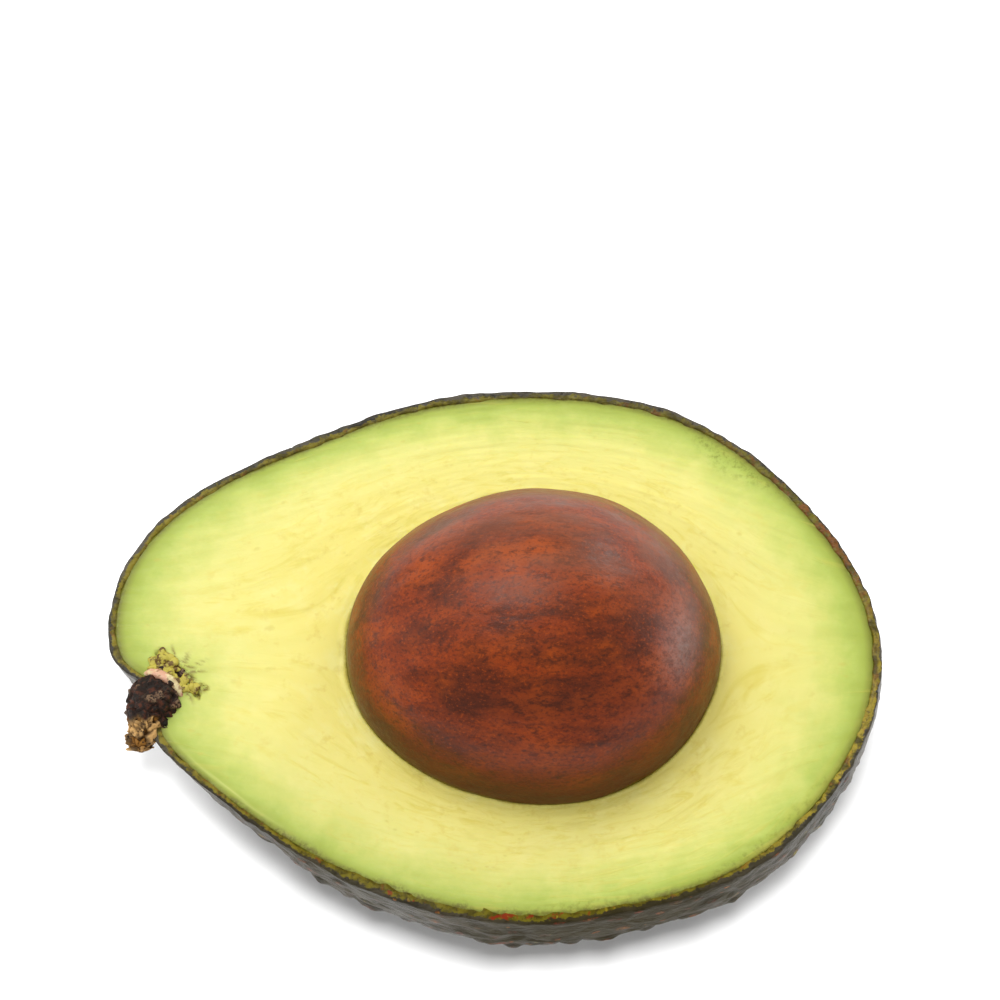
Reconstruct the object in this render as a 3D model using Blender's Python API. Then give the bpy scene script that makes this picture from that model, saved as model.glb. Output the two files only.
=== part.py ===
"""Half of an avocado, cut lengthwise, lying on its skin with the seed still in its hollow.

The origin is the middle of the small flat spot that the half rests on. +Z is up, square to the
cut face. +X runs along the fruit to its blossom end, so the stem is on the -X side, and the
bent neck leans to +Y. Everything is in metres and at real size.
"""

import math

import bmesh
import bpy
from mathutils import Vector

MM = 0.001

# Driving dimensions of the fruit. The cut face is a flat plane at FACE_HEIGHT.
FACE_HEIGHT = 35.0 * MM
FLATTENING = 0.45 * MM  # how much lower the round belly would reach without its flat spot
BELLY_FULLNESS = 2.3  # 2 rounds the belly like an ellipse, and a larger value fills it out
BELLY_LEAN = 0.7 * MM  # how far the slices halfway down lie towards the blossom end
NECK_SLIMMING = 0.18  # share of its depth that the fruit loses towards the stem end
SKIN_THICKNESS = 1.0 * MM
GAP = 0.3 * MM  # clearance between two pieces that touch

# Distance from the upright axis to the outside of the skin in the cut face, at even steps of
# angle that start at the blossom end (+X) and turn towards +Y.
OUTLINE_RADII = [
    radius * MM
    for radius in (
        47.2, 44.5, 41.3, 38.8, 36.4, 35.9, 37.1, 41.2, 48.9,
        50.9, 44.6, 38.9, 36.4, 35.9, 36.6, 38.8, 42.6, 45.6,
    )
]  # fmt: skip

# The pit at the stem end, a round dimple in the neck.
PIT_ANGLE = math.radians(187.5)
PIT_DEPTH = 3.6 * MM
PIT_SPREAD = 2.6 * MM

# The seed is an egg that lies along X, with a little more than half of it above the cut face.
SEED_CENTRE = Vector((2.9 * MM, 0.0, FACE_HEIGHT + 0.5 * MM))
SEED_HALF_LENGTH = 23.8 * MM
SEED_HALF_WIDTH = 20.5 * MM
SEED_BLUNTNESS = 0.07  # how much wider it is towards the blossom end

# Middle line of the stem from its root in the flesh to its broken end: x, y, height over the
# cut face and radius.
STEM_LINE = [
    tuple(value * MM for value in point)
    for point in (
        (-40.6, -1.9, -2.2, 2.2),
        (-42.6, -3.9, -1.7, 3.2),
        (-44.2, -6.0, -1.4, 3.5),
        (-44.9, -8.6, -1.3, 2.9),
        (-45.4, -10.6, -1.5, 3.0),
        (-45.8, -12.6, -1.9, 2.1),
    )
]

# How finely the round forms are divided.
FRUIT_SEGMENTS = 72
FRUIT_RINGS = 36
SEED_SEGMENTS = 48
SEED_RINGS = 24
STEM_STEPS = 4
STEM_SIDES_LEVEL = 3

COLOURS = {
    "skin": ((0.045, 0.050, 0.032), 0.42),
    "flesh": ((0.78, 0.74, 0.26), 0.38),
    "seed": ((0.20, 0.055, 0.025), 0.50),
    "stem": ((0.16, 0.085, 0.045), 0.85),
}


def clear_scene():
    """Remove every object that the scene starts with."""
    for obj in list(bpy.data.objects):
        bpy.data.objects.remove(obj)


def new_collection(name):
    """A collection of that name, linked to the scene."""
    collection = bpy.data.collections.new(name)
    bpy.context.scene.collection.children.link(collection)
    return collection


def finish_of(name):
    """The Principled material of one sub-part."""
    colour, roughness = COLOURS[name]
    material = bpy.data.materials.new(name)
    material.use_nodes = True
    shader = material.node_tree.nodes["Principled BSDF"]
    shader.inputs["Base Color"].default_value = (*colour, 1.0)
    shader.inputs["Roughness"].default_value = roughness
    shader.inputs["Metallic"].default_value = 0.0
    return material


def outline_radius(angle):
    """The outline's radius at any angle: the smooth periodic curve through OUTLINE_RADII."""
    count = len(OUTLINE_RADII)
    radius = 0.0
    for index, value in enumerate(OUTLINE_RADII):
        turn = angle - index * math.tau / count
        half = math.sin(turn / 2)
        if abs(half) < 1e-9:
            return value
        radius += value * math.sin(count * turn / 2) * math.cos(turn / 2) / (count * half)
    return radius


def pit_centre(inset):
    """The middle of the stem pit, on the outline of the cut face moved inwards by inset."""
    radius = outline_radius(PIT_ANGLE) - inset
    return Vector((radius * math.cos(PIT_ANGLE), radius * math.sin(PIT_ANGLE), FACE_HEIGHT))


def fruit_point(direction, inset):
    """Where a direction from a unit sphere lands on a surface that lies inset under the outside.

    Level slices of the fruit are copies of the cut face's outline, and upright slices are
    superellipses that lean a little towards the blossom end. The neck is slimmer than the body,
    the belly has its flat spot, and a dimple sinks in where the stem grows.
    """
    angle = math.atan2(direction.y, direction.x)
    scale = max(0.0, 1.0 - direction.z**2) ** (1.0 / BELLY_FULLNESS)
    radius = (outline_radius(angle) - inset) * scale
    x, y = radius * math.cos(angle), radius * math.sin(angle)
    towards_neck = min(0.0, x) / OUTLINE_RADII[len(OUTLINE_RADII) // 2]
    full_depth = (FACE_HEIGHT + FLATTENING) * (1.0 - NECK_SLIMMING * towards_neck**2) - inset
    share = math.copysign(abs(direction.z) ** (2.0 / BELLY_FULLNESS), -direction.z)
    depth = max(-FACE_HEIGHT, min(FACE_HEIGHT - inset, share * full_depth))
    lean = BELLY_LEAN * math.sin(math.pi * max(0.0, depth) / FACE_HEIGHT)
    point = Vector((x + lean, y, FACE_HEIGHT - depth))
    centre = pit_centre(inset)
    reach = (point - centre).length / PIT_SPREAD
    inwards = -Vector((centre.x, centre.y, 0.0)).normalized()
    return point + inwards * PIT_DEPTH * math.exp(-0.5 * reach**2)


def fruit_bowl(inset):
    """The lower half of the fruit's surface, moved inwards by inset, as an open bowl."""
    mesh = bmesh.new()
    bmesh.ops.create_uvsphere(
        mesh, u_segments=FRUIT_SEGMENTS, v_segments=FRUIT_RINGS, radius=1.0
    )
    for vertex in mesh.verts:
        vertex.co = fruit_point(vertex.co.normalized(), inset)
    above = [vertex for vertex in mesh.verts if vertex.co.z > FACE_HEIGHT + 0.01 * MM]
    bmesh.ops.delete(mesh, geom=above, context="VERTS")
    rim = {vertex for edge in mesh.edges if edge.is_boundary for vertex in edge.verts}
    for vertex in rim:
        vertex.co.z = FACE_HEIGHT
    return mesh


def seed_form(growth):
    """The egg-shaped seed as a closed mesh, grown by growth on every side."""
    mesh = bmesh.new()
    bmesh.ops.create_uvsphere(mesh, u_segments=SEED_SEGMENTS, v_segments=SEED_RINGS, radius=1.0)
    for vertex in mesh.verts:
        pole, side_a, side_b = vertex.co.z, vertex.co.x, vertex.co.y
        width = (SEED_HALF_WIDTH + growth) * (1.0 + SEED_BLUNTNESS * pole * (1.0 - pole**2))
        length = SEED_HALF_LENGTH + growth
        vertex.co = SEED_CENTRE + Vector((length * pole, width * side_a, width * side_b))
    return mesh


def object_from(name, mesh, collection):
    """An object of that name holding the bmesh, shaded smooth."""
    data = bpy.data.meshes.new(name)
    mesh.to_mesh(data)
    mesh.free()
    data.shade_smooth()
    obj = bpy.data.objects.new(name, data)
    collection.objects.link(obj)
    return obj


def stem_curve(name, collection, growth):
    """The stem as a bevelled curve whose radius follows STEM_LINE, grown by growth."""
    curve = bpy.data.curves.new(name, "CURVE")
    curve.dimensions = "3D"
    curve.bevel_depth = 1.0
    curve.bevel_resolution = STEM_SIDES_LEVEL
    curve.resolution_u = STEM_STEPS
    curve.use_fill_caps = True
    spline = curve.splines.new("BEZIER")
    spline.bezier_points.add(len(STEM_LINE) - 1)
    places = [Vector((x, y, FACE_HEIGHT + height)) for x, y, height, _ in STEM_LINE]
    places[0] += (places[0] - places[1]).normalized() * growth
    for point, place, (_, _, _, radius) in zip(spline.bezier_points, places, STEM_LINE):
        point.co = place
        point.radius = radius + growth
        point.handle_left_type = point.handle_right_type = "AUTO"
    obj = bpy.data.objects.new(name, curve)
    collection.objects.link(obj)
    return obj


def mesh_of(curve_object, collection):
    """A closed mesh object in place of a curve object, with its caps welded on."""
    name = curve_object.name
    bpy.context.view_layer.update()
    graph = bpy.context.evaluated_depsgraph_get()
    data = bpy.data.meshes.new_from_object(curve_object.evaluated_get(graph))
    mesh = bmesh.new()
    mesh.from_mesh(data)
    bmesh.ops.remove_doubles(mesh, verts=mesh.verts, dist=0.01 * MM)
    bmesh.ops.recalc_face_normals(mesh, faces=mesh.faces)
    matrix = curve_object.matrix_world.copy()
    bpy.data.objects.remove(curve_object)
    bpy.data.meshes.remove(data)
    obj = object_from(name, mesh, collection)
    obj.matrix_world = matrix
    return obj


def as_cutter(obj):
    """Mark an object as a helper that is only subtracted from others."""
    obj.hide_render = True
    obj.display_type = "WIRE"
    return obj


def cut(obj, cutter):
    """Subtract the cutter from obj with a Boolean modifier."""
    boolean = obj.modifiers.new("cut_" + cutter.name, "BOOLEAN")
    boolean.operation = "DIFFERENCE"
    boolean.object = cutter


def add_mesh(mesh, other):
    """Copy the other bmesh, turned inside out, into mesh."""
    bmesh.ops.reverse_faces(other, faces=other.faces)
    data = bpy.data.meshes.new("lining")
    other.to_mesh(data)
    other.free()
    mesh.from_mesh(data)
    bpy.data.meshes.remove(data)


def make_skin(collection, stem_cutter):
    """The leathery skin: an outer and an inner bowl joined by a level rim, open at the stem."""
    mesh = fruit_bowl(0.0)
    add_mesh(mesh, fruit_bowl(SKIN_THICKNESS))
    rims = [edge for edge in mesh.edges if edge.is_boundary]
    bmesh.ops.bridge_loops(mesh, edges=rims)
    bmesh.ops.recalc_face_normals(mesh, faces=mesh.faces)
    skin = object_from("skin", mesh, collection)
    cut(skin, stem_cutter)
    return skin


def make_flesh(collection, seed_cutter, stem_cutter):
    """The flesh: solid to the cut face, with the seed's hollow and the stem's socket in it."""
    mesh = fruit_bowl(SKIN_THICKNESS + GAP)
    rim = [edge for edge in mesh.edges if edge.is_boundary]
    bmesh.ops.edgeloop_fill(mesh, edges=rim)
    bmesh.ops.recalc_face_normals(mesh, faces=mesh.faces)
    flesh = object_from("flesh", mesh, collection)
    cut(flesh, seed_cutter)
    cut(flesh, stem_cutter)
    return flesh


def main():
    clear_scene()
    fruit = new_collection("avocado_half")
    cutters = new_collection("cutters")

    stem_cutter = as_cutter(mesh_of(stem_curve("stem_cutter", cutters, GAP), cutters))
    seed_cutter = as_cutter(object_from("seed_cutter", seed_form(GAP), cutters))

    parts = [
        make_skin(fruit, stem_cutter),
        make_flesh(fruit, seed_cutter, stem_cutter),
        object_from("seed", seed_form(0.0), fruit),
        mesh_of(stem_curve("stem", fruit, 0.0), fruit),
    ]
    for part in parts:
        part.data.materials.append(finish_of(part.name))


main()
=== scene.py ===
"""Half an avocado, cut lengthwise, lying on its skin with the seed in its hollow.

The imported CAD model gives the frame: the origin is the middle of the flat spot that the half
rests on, +Z is up and square to the cut face, +X runs to the blossom end and the neck with its
stem is on the -X side. Everything is in metres.

Each part of the fruit is a class that works its surface out with numpy, loads it into a mesh and
dresses it with a node-based finish. Domes are laid on a concentric square grid, so that no
surface has crowded poles, and rings of points join one dome to the next into a closed solid.
"""

import itertools
import logging
import math
from dataclasses import dataclass, field
from enum import Enum

import bpy
import numpy as np
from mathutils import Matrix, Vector


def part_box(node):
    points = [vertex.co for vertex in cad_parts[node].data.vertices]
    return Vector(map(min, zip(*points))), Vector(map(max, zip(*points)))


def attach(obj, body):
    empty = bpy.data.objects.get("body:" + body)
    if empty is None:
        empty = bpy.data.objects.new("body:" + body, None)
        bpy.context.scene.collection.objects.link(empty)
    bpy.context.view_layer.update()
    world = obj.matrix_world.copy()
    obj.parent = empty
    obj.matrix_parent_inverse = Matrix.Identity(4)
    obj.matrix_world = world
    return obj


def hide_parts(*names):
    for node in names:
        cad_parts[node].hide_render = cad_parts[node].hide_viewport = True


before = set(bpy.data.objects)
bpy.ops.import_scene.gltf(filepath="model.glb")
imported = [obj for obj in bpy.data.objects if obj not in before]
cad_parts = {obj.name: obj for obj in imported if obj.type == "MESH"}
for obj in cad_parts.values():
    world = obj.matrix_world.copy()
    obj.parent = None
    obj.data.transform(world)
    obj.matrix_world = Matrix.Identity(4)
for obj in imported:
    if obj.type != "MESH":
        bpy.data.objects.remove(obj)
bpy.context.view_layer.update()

LOG = logging.getLogger("avocado_half")
MM = 0.001
STUDIO_LEVEL = 1.20  # how bright a white card on the cut face is, where 1 is a screen's white
SCREEN_GAMMA = 2.2
LATTICE = 32  # random values along each side of the repeating lattice that the fields use

Colour = tuple[float, float, float]
Socket = bpy.types.NodeSocket
Marks = dict[str, np.ndarray]


class Slot(Enum):
    """The record's material slots."""

    SKIN = "skin"
    FLESH = "flesh"
    SEED = "seed"
    STEM = "stem"


class Sum(Enum):
    """How a finish puts two numbers together."""

    ADD = "ADD"
    MULTIPLY = "MULTIPLY"
    DIVIDE = "DIVIDE"
    MAXIMUM = "MAXIMUM"


def display(red: float, green: float, blue: float) -> Colour:
    """The surface colour that looks like the given display values in the studio's light.

    Args:
        red: The red value from 0 to 255 as a screen shows it.
        green: The green value.
        blue: The blue value.

    Returns:
        The linear colour, each channel being the value over 255 to the power 2.2, over the
        studio's level.
    """
    return tuple((value / 255.0) ** SCREEN_GAMMA / STUDIO_LEVEL for value in (red, green, blue))


# ---------------------------------------------------------------------------------------------
# Random fields and grids


def value_noise(points: np.ndarray, size: float, seed: int) -> np.ndarray:
    """A smooth random field: lattice values blended with the fade 6t^5 - 15t^4 + 10t^3.

    Args:
        points: Places, as an array of rows of three numbers.
        size: The side of a lattice cell in metres, about half the width of a bump.
        seed: Which random field.

    Returns:
        A value from -1 to 1 for each point.
    """
    table = np.random.default_rng(seed).uniform(-1.0, 1.0, (LATTICE,) * 3)
    scaled = points / size
    cell = np.floor(scaled).astype(int)
    share = scaled - cell
    share = share**3 * (share * (share * 6.0 - 15.0) + 10.0)
    total = np.zeros(len(points))
    for corner in itertools.product((0, 1), repeat=3):
        weight = np.prod(np.where(np.array(corner) == 1, share, 1.0 - share), axis=1)
        index = (cell + np.array(corner)) % LATTICE
        total += weight * table[index[:, 0], index[:, 1], index[:, 2]]
    return total


def fractal(points: np.ndarray, size: float, octaves: int, seed: int) -> np.ndarray:
    """A rough random field: octaves of value noise, each half as wide and half as high.

    Args:
        points: Places, as rows of three numbers.
        size: The lattice cell of the widest octave in metres.
        octaves: How many fields are added.
        seed: Which random field.

    Returns:
        A value of about -1 to 1 for each point.
    """
    total = np.zeros(len(points))
    for octave in range(octaves):
        total += value_noise(points, size / 2**octave, seed + octave) / 2**octave
    return total


def cells(points: np.ndarray, size: float, seed: int) -> tuple[np.ndarray, np.ndarray]:
    """A field of cells around one random point in each lattice cell.

    Args:
        points: Places, as rows of three numbers.
        size: The side of a lattice cell in metres.
        seed: Which random field.

    Returns:
        How far each point is from the border of its cell, as the second nearest distance less
        the nearest in lattice cells, and the random number from 0 to 1 of its cell.
    """
    rng = np.random.default_rng(seed)
    offsets = rng.uniform(0.0, 1.0, (LATTICE, LATTICE, LATTICE, 3))
    numbers = rng.uniform(0.0, 1.0, (LATTICE,) * 3)
    scaled = points / size
    cell = np.floor(scaled).astype(int)
    nearest = np.full(len(points), np.inf)
    second = np.full(len(points), np.inf)
    number = np.zeros(len(points))
    for step in itertools.product((-1, 0, 1), repeat=3):
        index = (cell + np.array(step)) % LATTICE
        at = (index[:, 0], index[:, 1], index[:, 2])
        gap = np.linalg.norm(scaled - cell - np.array(step) - offsets[at], axis=1)
        nearer = gap < nearest
        second = np.where(nearer, nearest, np.minimum(second, gap))
        number = np.where(nearer, numbers[at], number)
        nearest = np.minimum(nearest, gap)
    return second - nearest, number


def smooth_step(values: np.ndarray, low: float, high: float) -> np.ndarray:
    """Values turned into a smooth rise from 0 at low to 1 at high, by 3t^2 - 2t^3.

    Args:
        values: The values.
        low: Where the rise starts.
        high: Where it ends. It may lie below low, and the rise is then a fall.

    Returns:
        The risen values, from 0 to 1.
    """
    share = np.clip((values - low) / (high - low), 0.0, 1.0)
    return share * share * (3.0 - 2.0 * share)


def bell(values: np.ndarray, width: float) -> np.ndarray:
    """The bell curve exp(-(v/w)^2) of some values v, for a half width w."""
    return np.exp(-((values / width) ** 2))


@dataclass(frozen=True)
class Sector:
    """A soft patch round the upright axis: a bell curve of the angle from its middle."""

    middle: float  # degrees
    width: float  # degrees to each side
    strength: float = 1.0

    def at(self, angle: np.ndarray) -> np.ndarray:
        """The patch's value, from 0 to its strength, at angles in radians."""
        away = np.angle(np.exp(1j * (angle - math.radians(self.middle))))
        return self.strength * bell(away, math.radians(self.width))


@dataclass(frozen=True)
class Disc:
    """A unit disc as a square grid folded into concentric rings.

    A point of the square at (a, b), each from -1 to 1, goes to the circle whose radius is the
    larger of |a| and |b|. Its angle is pi/4 times b/a in the left and right quarters, and pi/2
    less pi/4 times a/b in the other two. The square's border lands on the rim at even angles.
    """

    steps: int

    def coordinates(self) -> tuple[np.ndarray, np.ndarray]:
        """The grid's points in polar coordinates.

        Returns:
            The radius from 0 to 1 and the angle of every point, as square arrays.
        """
        side = np.linspace(-1.0, 1.0, self.steps + 1)
        a, b = np.meshgrid(side, side, indexing="ij")
        sideways = np.abs(a) > np.abs(b)
        radius = np.where(sideways, a, b)
        safe = np.where(radius == 0.0, 1.0, radius)
        other = np.where(sideways, b, a)
        turn = np.pi / 4.0 * other / safe
        angle = np.where(sideways, turn, np.pi / 2.0 - turn) + np.where(radius < 0.0, np.pi, 0.0)
        return np.abs(radius), angle

    def hemisphere(self, top: float) -> np.ndarray:
        """Unit directions over the disc: sin(pi r/2) outwards and cos(pi r/2) up or down.

        Args:
            top: 1 for the upper half of the ball and -1 for the lower.

        Returns:
            The directions as a square array, with the rim exactly level.
        """
        radius, angle = self.coordinates()
        out = np.sin(radius * np.pi / 2.0)
        up = np.where(radius >= 1.0, 0.0, np.cos(radius * np.pi / 2.0))
        return np.stack([out * np.cos(angle), out * np.sin(angle), top * up], axis=-1)

    def border(self) -> np.ndarray:
        """The rim's points.

        Returns:
            Their indices in flat order, from angle 0 and rising.
        """
        last = self.steps
        index = np.arange((last + 1) ** 2).reshape(last + 1, last + 1)
        loop = np.concatenate([index[last, :-1], index[:0:-1, last], index[0, :0:-1], index[:-1, 0]])
        return np.roll(loop, -(last // 2))

    def faces(self, turned: bool) -> np.ndarray:
        """Quads between the grid's points.

        Args:
            turned: Whether they face -Z and not +Z.

        Returns:
            Rows of four indices.
        """
        last = self.steps
        index = np.arange((last + 1) ** 2).reshape(last + 1, last + 1)
        corners = [index[:-1, :-1], index[1:, :-1], index[1:, 1:], index[:-1, 1:]]
        quads = np.stack([corner.ravel() for corner in corners], axis=1)
        return quads[:, ::-1] if turned else quads


def ring_angles(count: int) -> np.ndarray:
    """Even angles round a ring, from 0 and rising."""
    return np.arange(count) * (2.0 * np.pi / count)


def stitched(outer: np.ndarray, inner: np.ndarray) -> list[list[int]]:
    """Faces between two rings of point indices, facing +Z when the second ring is the inner one.

    Args:
        outer: The first ring.
        inner: The second ring. One count is a whole multiple of the other.

    Returns:
        Quads for equal counts, and otherwise one wider face for each point of the coarser ring.
    """
    coarse = min(len(outer), len(inner))
    rows = []
    for ring, backwards in ((outer, False), (inner, True)):
        ratio = len(ring) // coarse
        run = np.arange(coarse)[:, None] * ratio + np.arange(ratio + 1)[None, :]
        row = ring[run % len(ring)]
        rows.append(row[:, ::-1] if backwards else row)
    return np.hstack(rows).tolist()


def closed_shell(
    lower: np.ndarray, loops: list[np.ndarray], upper: np.ndarray
) -> tuple[np.ndarray, list[list[int]]]:
    """A closed solid: a dome that faces down and out, rings of points, and one that faces up.

    Args:
        lower: The points of the lower dome, as a square array of places.
        loops: Rings of places between the domes, each as rows, from the lower dome on.
        upper: The points of the upper dome, as a square array of places.

    Returns:
        The vertices as rows, in the order lower dome, loops and upper dome, and the faces.
    """
    lower_disc, upper_disc = Disc(lower.shape[0] - 1), Disc(upper.shape[0] - 1)
    blocks = [lower.reshape(-1, 3), *loops, upper.reshape(-1, 3)]
    starts = np.cumsum([0] + [len(block) for block in blocks])
    rings = [lower_disc.border()]
    rings += [start + np.arange(len(loop)) for start, loop in zip(starts[1:], loops)]
    rings.append(upper_disc.border() + starts[-2])
    faces = lower_disc.faces(turned=True).tolist()
    for one, other in zip(rings, rings[1:]):
        faces += stitched(one, other)
    faces += (upper_disc.faces(turned=False) + starts[-2]).tolist()
    return np.vstack(blocks), faces


def two_domes(lower: np.ndarray, upper: np.ndarray) -> tuple[np.ndarray, list[list[int]]]:
    """A closed solid of two domes that share their rim.

    Args:
        lower: The points of the lower dome, as a square array of places.
        upper: The points of the upper dome, in the same layout and with the same rim.

    Returns:
        The vertices as rows, the whole lower dome first, and the faces.
    """
    disc = Disc(lower.shape[0] - 1)
    count = (disc.steps + 1) ** 2
    within = np.setdiff1d(np.arange(count), disc.border())
    index = np.arange(count)
    index[within] = count + np.arange(len(within))
    vertices = np.vstack([lower.reshape(-1, 3), upper.reshape(-1, 3)[within]])
    faces = disc.faces(turned=True).tolist() + index[disc.faces(turned=False)].tolist()
    return vertices, faces


def unit(rows: np.ndarray) -> np.ndarray:
    """Vectors scaled to length 1."""
    return rows / np.maximum(np.linalg.norm(rows, axis=-1, keepdims=True), 1e-12)


def grid_normals(points: np.ndarray) -> np.ndarray:
    """Unit normals of a square grid of places, as the cross product of its two slopes."""
    return unit(np.cross(np.gradient(points, axis=0), np.gradient(points, axis=1)))


# ---------------------------------------------------------------------------------------------
# Meshes and node sheets


def load_mesh(
    name: str, vertices: np.ndarray, faces: list[list[int]], marks: Marks
) -> bpy.types.Object:
    """An object at the origin that holds a smooth-shaded mesh.

    Args:
        name: The piece's name.
        vertices: Places as rows.
        faces: Lists of vertex indices.
        marks: Attributes by name: one number or one row of three for each vertex.

    Returns:
        The new object.
    """
    mesh = bpy.data.meshes.new(name)
    mesh.from_pydata(vertices.tolist(), [], faces)
    for label, values in marks.items():
        is_vector = values.ndim == 2
        layer = mesh.attributes.new(label, "FLOAT_VECTOR" if is_vector else "FLOAT", "POINT")
        key = "vector" if is_vector else "value"
        layer.data.foreach_set(key, values.astype(np.float32).ravel())
    mesh.shade_smooth()
    mesh.update()
    mesh.validate()
    obj = bpy.data.objects.new(name, mesh)
    bpy.context.scene.collection.objects.link(obj)
    return obj


@dataclass(frozen=True)
class Grain:
    """A kind of smooth noise: its width, its finer octaves, their strength and its distortion.

    The scale stretches the noise along an axis where it is below 1.
    """

    size: float
    detail: float = 2.0
    roughness: float = 0.5
    warp: float = 0.0
    scale: Colour = (1.0, 1.0, 1.0)


@dataclass(frozen=True)
class Pattern:
    """A noise carried smoothly from low..high to start..end, and held there outside.

    High may lie below low, and the pattern then shows the noise's hollows.
    """

    grain: Grain
    low: float
    high: float
    start: float = 0.0
    end: float = 1.0


@dataclass
class Sheet:
    """A new material and its node tree, with one short method for each kind of node."""

    name: str
    material: bpy.types.Material = field(init=False)
    place: Socket = field(init=False)
    made: dict[tuple[Grain, str], Socket] = field(init=False, default_factory=dict)

    def __post_init__(self) -> None:
        """Make the empty material, with the piece's own coordinates in metres to read from."""
        self.material = bpy.data.materials.new(self.name)
        self.material.use_nodes = True
        self.material.node_tree.nodes.clear()
        self.place = self.node("ShaderNodeTexCoord").outputs["Object"]

    def node(self, kind: str, **settings: object) -> bpy.types.Node:
        """A new node.

        Args:
            kind: Its type.
            settings: Its settings by name.

        Returns:
            The node.
        """
        node = self.material.node_tree.nodes.new(kind)
        for label, value in settings.items():
            setattr(node, label, value)
        return node

    def feed(self, socket: Socket, value: object) -> None:
        """Give an input its value.

        Args:
            socket: The input.
            value: A socket to link, or a plain number, vector or colour.
        """
        if isinstance(value, bpy.types.NodeSocket):
            self.material.node_tree.links.new(value, socket)
        elif isinstance(value, tuple) and socket.type == "RGBA":
            socket.default_value = (*value, 1.0)
        else:
            socket.default_value = value

    def attribute(self, label: str, vector: bool = False) -> Socket:
        """A value that the mesh carries, as a number or a vector."""
        node = self.node("ShaderNodeAttribute", attribute_name=label)
        return node.outputs["Vector" if vector else "Fac"]

    def stretched(self, vector: Socket, scale: Colour) -> Socket:
        """A vector scaled along each axis.

        Args:
            vector: The vector.
            scale: The factor for each axis.

        Returns:
            The scaled vector, or the same one if all the factors are 1.
        """
        if scale == (1.0, 1.0, 1.0):
            return vector
        node = self.node("ShaderNodeMapping")
        self.feed(node.inputs["Vector"], vector)
        node.inputs["Scale"].default_value = scale
        return node.outputs["Vector"]

    def noise(self, grain: Grain, vector: Socket | None = None) -> Socket:
        """Smooth noise from 0 to 1. Asked for twice, it is made once.

        Args:
            grain: What it is like.
            vector: The coordinates that it reads, if not the piece's own.

        Returns:
            The noise's value.
        """
        vector = self.place if vector is None else vector
        key = (grain, vector.node.name)
        if key not in self.made:
            node = self.node("ShaderNodeTexNoise")
            self.feed(node.inputs["Vector"], self.stretched(vector, grain.scale))
            node.inputs["Scale"].default_value = 1.0 / grain.size
            node.inputs["Detail"].default_value = grain.detail
            node.inputs["Roughness"].default_value = grain.roughness
            node.inputs["Distortion"].default_value = grain.warp
            self.made[key] = node.outputs["Fac"]
        return self.made[key]

    def spots(self, size: float, vector: Socket) -> Socket:
        """Cells around random points.

        Args:
            size: The width of a cell in metres.
            vector: The coordinates that they are laid in.

        Returns:
            The distance from the nearest point, in cells.
        """
        node = self.node("ShaderNodeTexVoronoi")
        self.feed(node.inputs["Vector"], vector)
        node.inputs["Scale"].default_value = 1.0 / size
        return node.outputs["Distance"]

    def spread(
        self, value: Socket, low: float, high: float, start: float = 0.0, end: float = 1.0
    ) -> Socket:
        """A value carried smoothly from low..high to start..end, and held there outside.

        Args:
            value: The value.
            low: The value that becomes start.
            high: The value that becomes end.
            start: The result at and below low.
            end: The result at and above high.

        Returns:
            The new value.
        """
        node = self.node("ShaderNodeMapRange", interpolation_type="SMOOTHSTEP")
        limits = {"Value": value, "From Min": low, "From Max": high, "To Min": start, "To Max": end}
        for label, limit in limits.items():
            self.feed(node.inputs[label], limit)
        return node.outputs["Result"]

    def pattern(self, pattern: Pattern, vector: Socket | None = None) -> Socket:
        """A pattern's value.

        Args:
            pattern: The pattern.
            vector: The coordinates that it reads, if not the piece's own.

        Returns:
            The value.
        """
        noise = self.noise(pattern.grain, vector)
        return self.spread(noise, pattern.low, pattern.high, pattern.start, pattern.end)

    def combine(self, how: Sum, one: object, other: object, clamp: bool = False) -> Socket:
        """One step of arithmetic.

        Args:
            how: The operation.
            one: The first number.
            other: The second number.
            clamp: Whether the result is held between 0 and 1.

        Returns:
            The result.
        """
        node = self.node("ShaderNodeMath", operation=how.value, use_clamp=clamp)
        self.feed(node.inputs[0], one)
        self.feed(node.inputs[1], other)
        return node.outputs["Value"]

    def plus(self, one: object, other: object) -> Socket:
        """The sum of two numbers."""
        return self.combine(Sum.ADD, one, other)

    def times(self, one: object, other: object) -> Socket:
        """The product of two numbers."""
        return self.combine(Sum.MULTIPLY, one, other)

    def mix(self, share: object, one: object, other: object) -> Socket:
        """One colour laid over another.

        Args:
            share: How much of the other colour shows, from 0 to 1.
            one: The colour below.
            other: The colour laid over it.

        Returns:
            The mixed colour.
        """
        node = self.node("ShaderNodeMix", data_type="RGBA")
        for socket, value in zip((node.inputs[0], node.inputs[6], node.inputs[7]), (share, one, other)):
            self.feed(socket, value)
        return node.outputs[2]

    def lay(
        self,
        base: object,
        colour: object,
        pattern: Pattern,
        mask: Socket | None = None,
        vector: Socket | None = None,
    ) -> Socket:
        """A colour laid over others where a pattern says so.

        Args:
            base: The colour below.
            colour: The colour laid over it.
            pattern: How much of it shows.
            mask: A number that this share is multiplied by, if any.
            vector: The coordinates that the pattern reads, if not the piece's own.

        Returns:
            The mixed colour.
        """
        share = self.pattern(pattern, vector)
        return self.mix(share if mask is None else self.times(mask, share), base, colour)

    def ramp(self, value: Socket, stops: list[tuple[float, Colour]]) -> Socket:
        """A colour that runs through the stops as the value rises from 0 to 1.

        Args:
            value: The value.
            stops: Each colour with the value at which it stands.

        Returns:
            The colour.
        """
        node = self.node("ShaderNodeValToRGB")
        elements = node.color_ramp.elements
        while len(elements) < len(stops):
            elements.new(1.0)
        for element, (position, colour) in zip(elements, stops):
            element.position = position
            element.color = (*colour, 1.0)
        self.feed(node.inputs["Fac"], value)
        return node.outputs["Color"]

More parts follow.
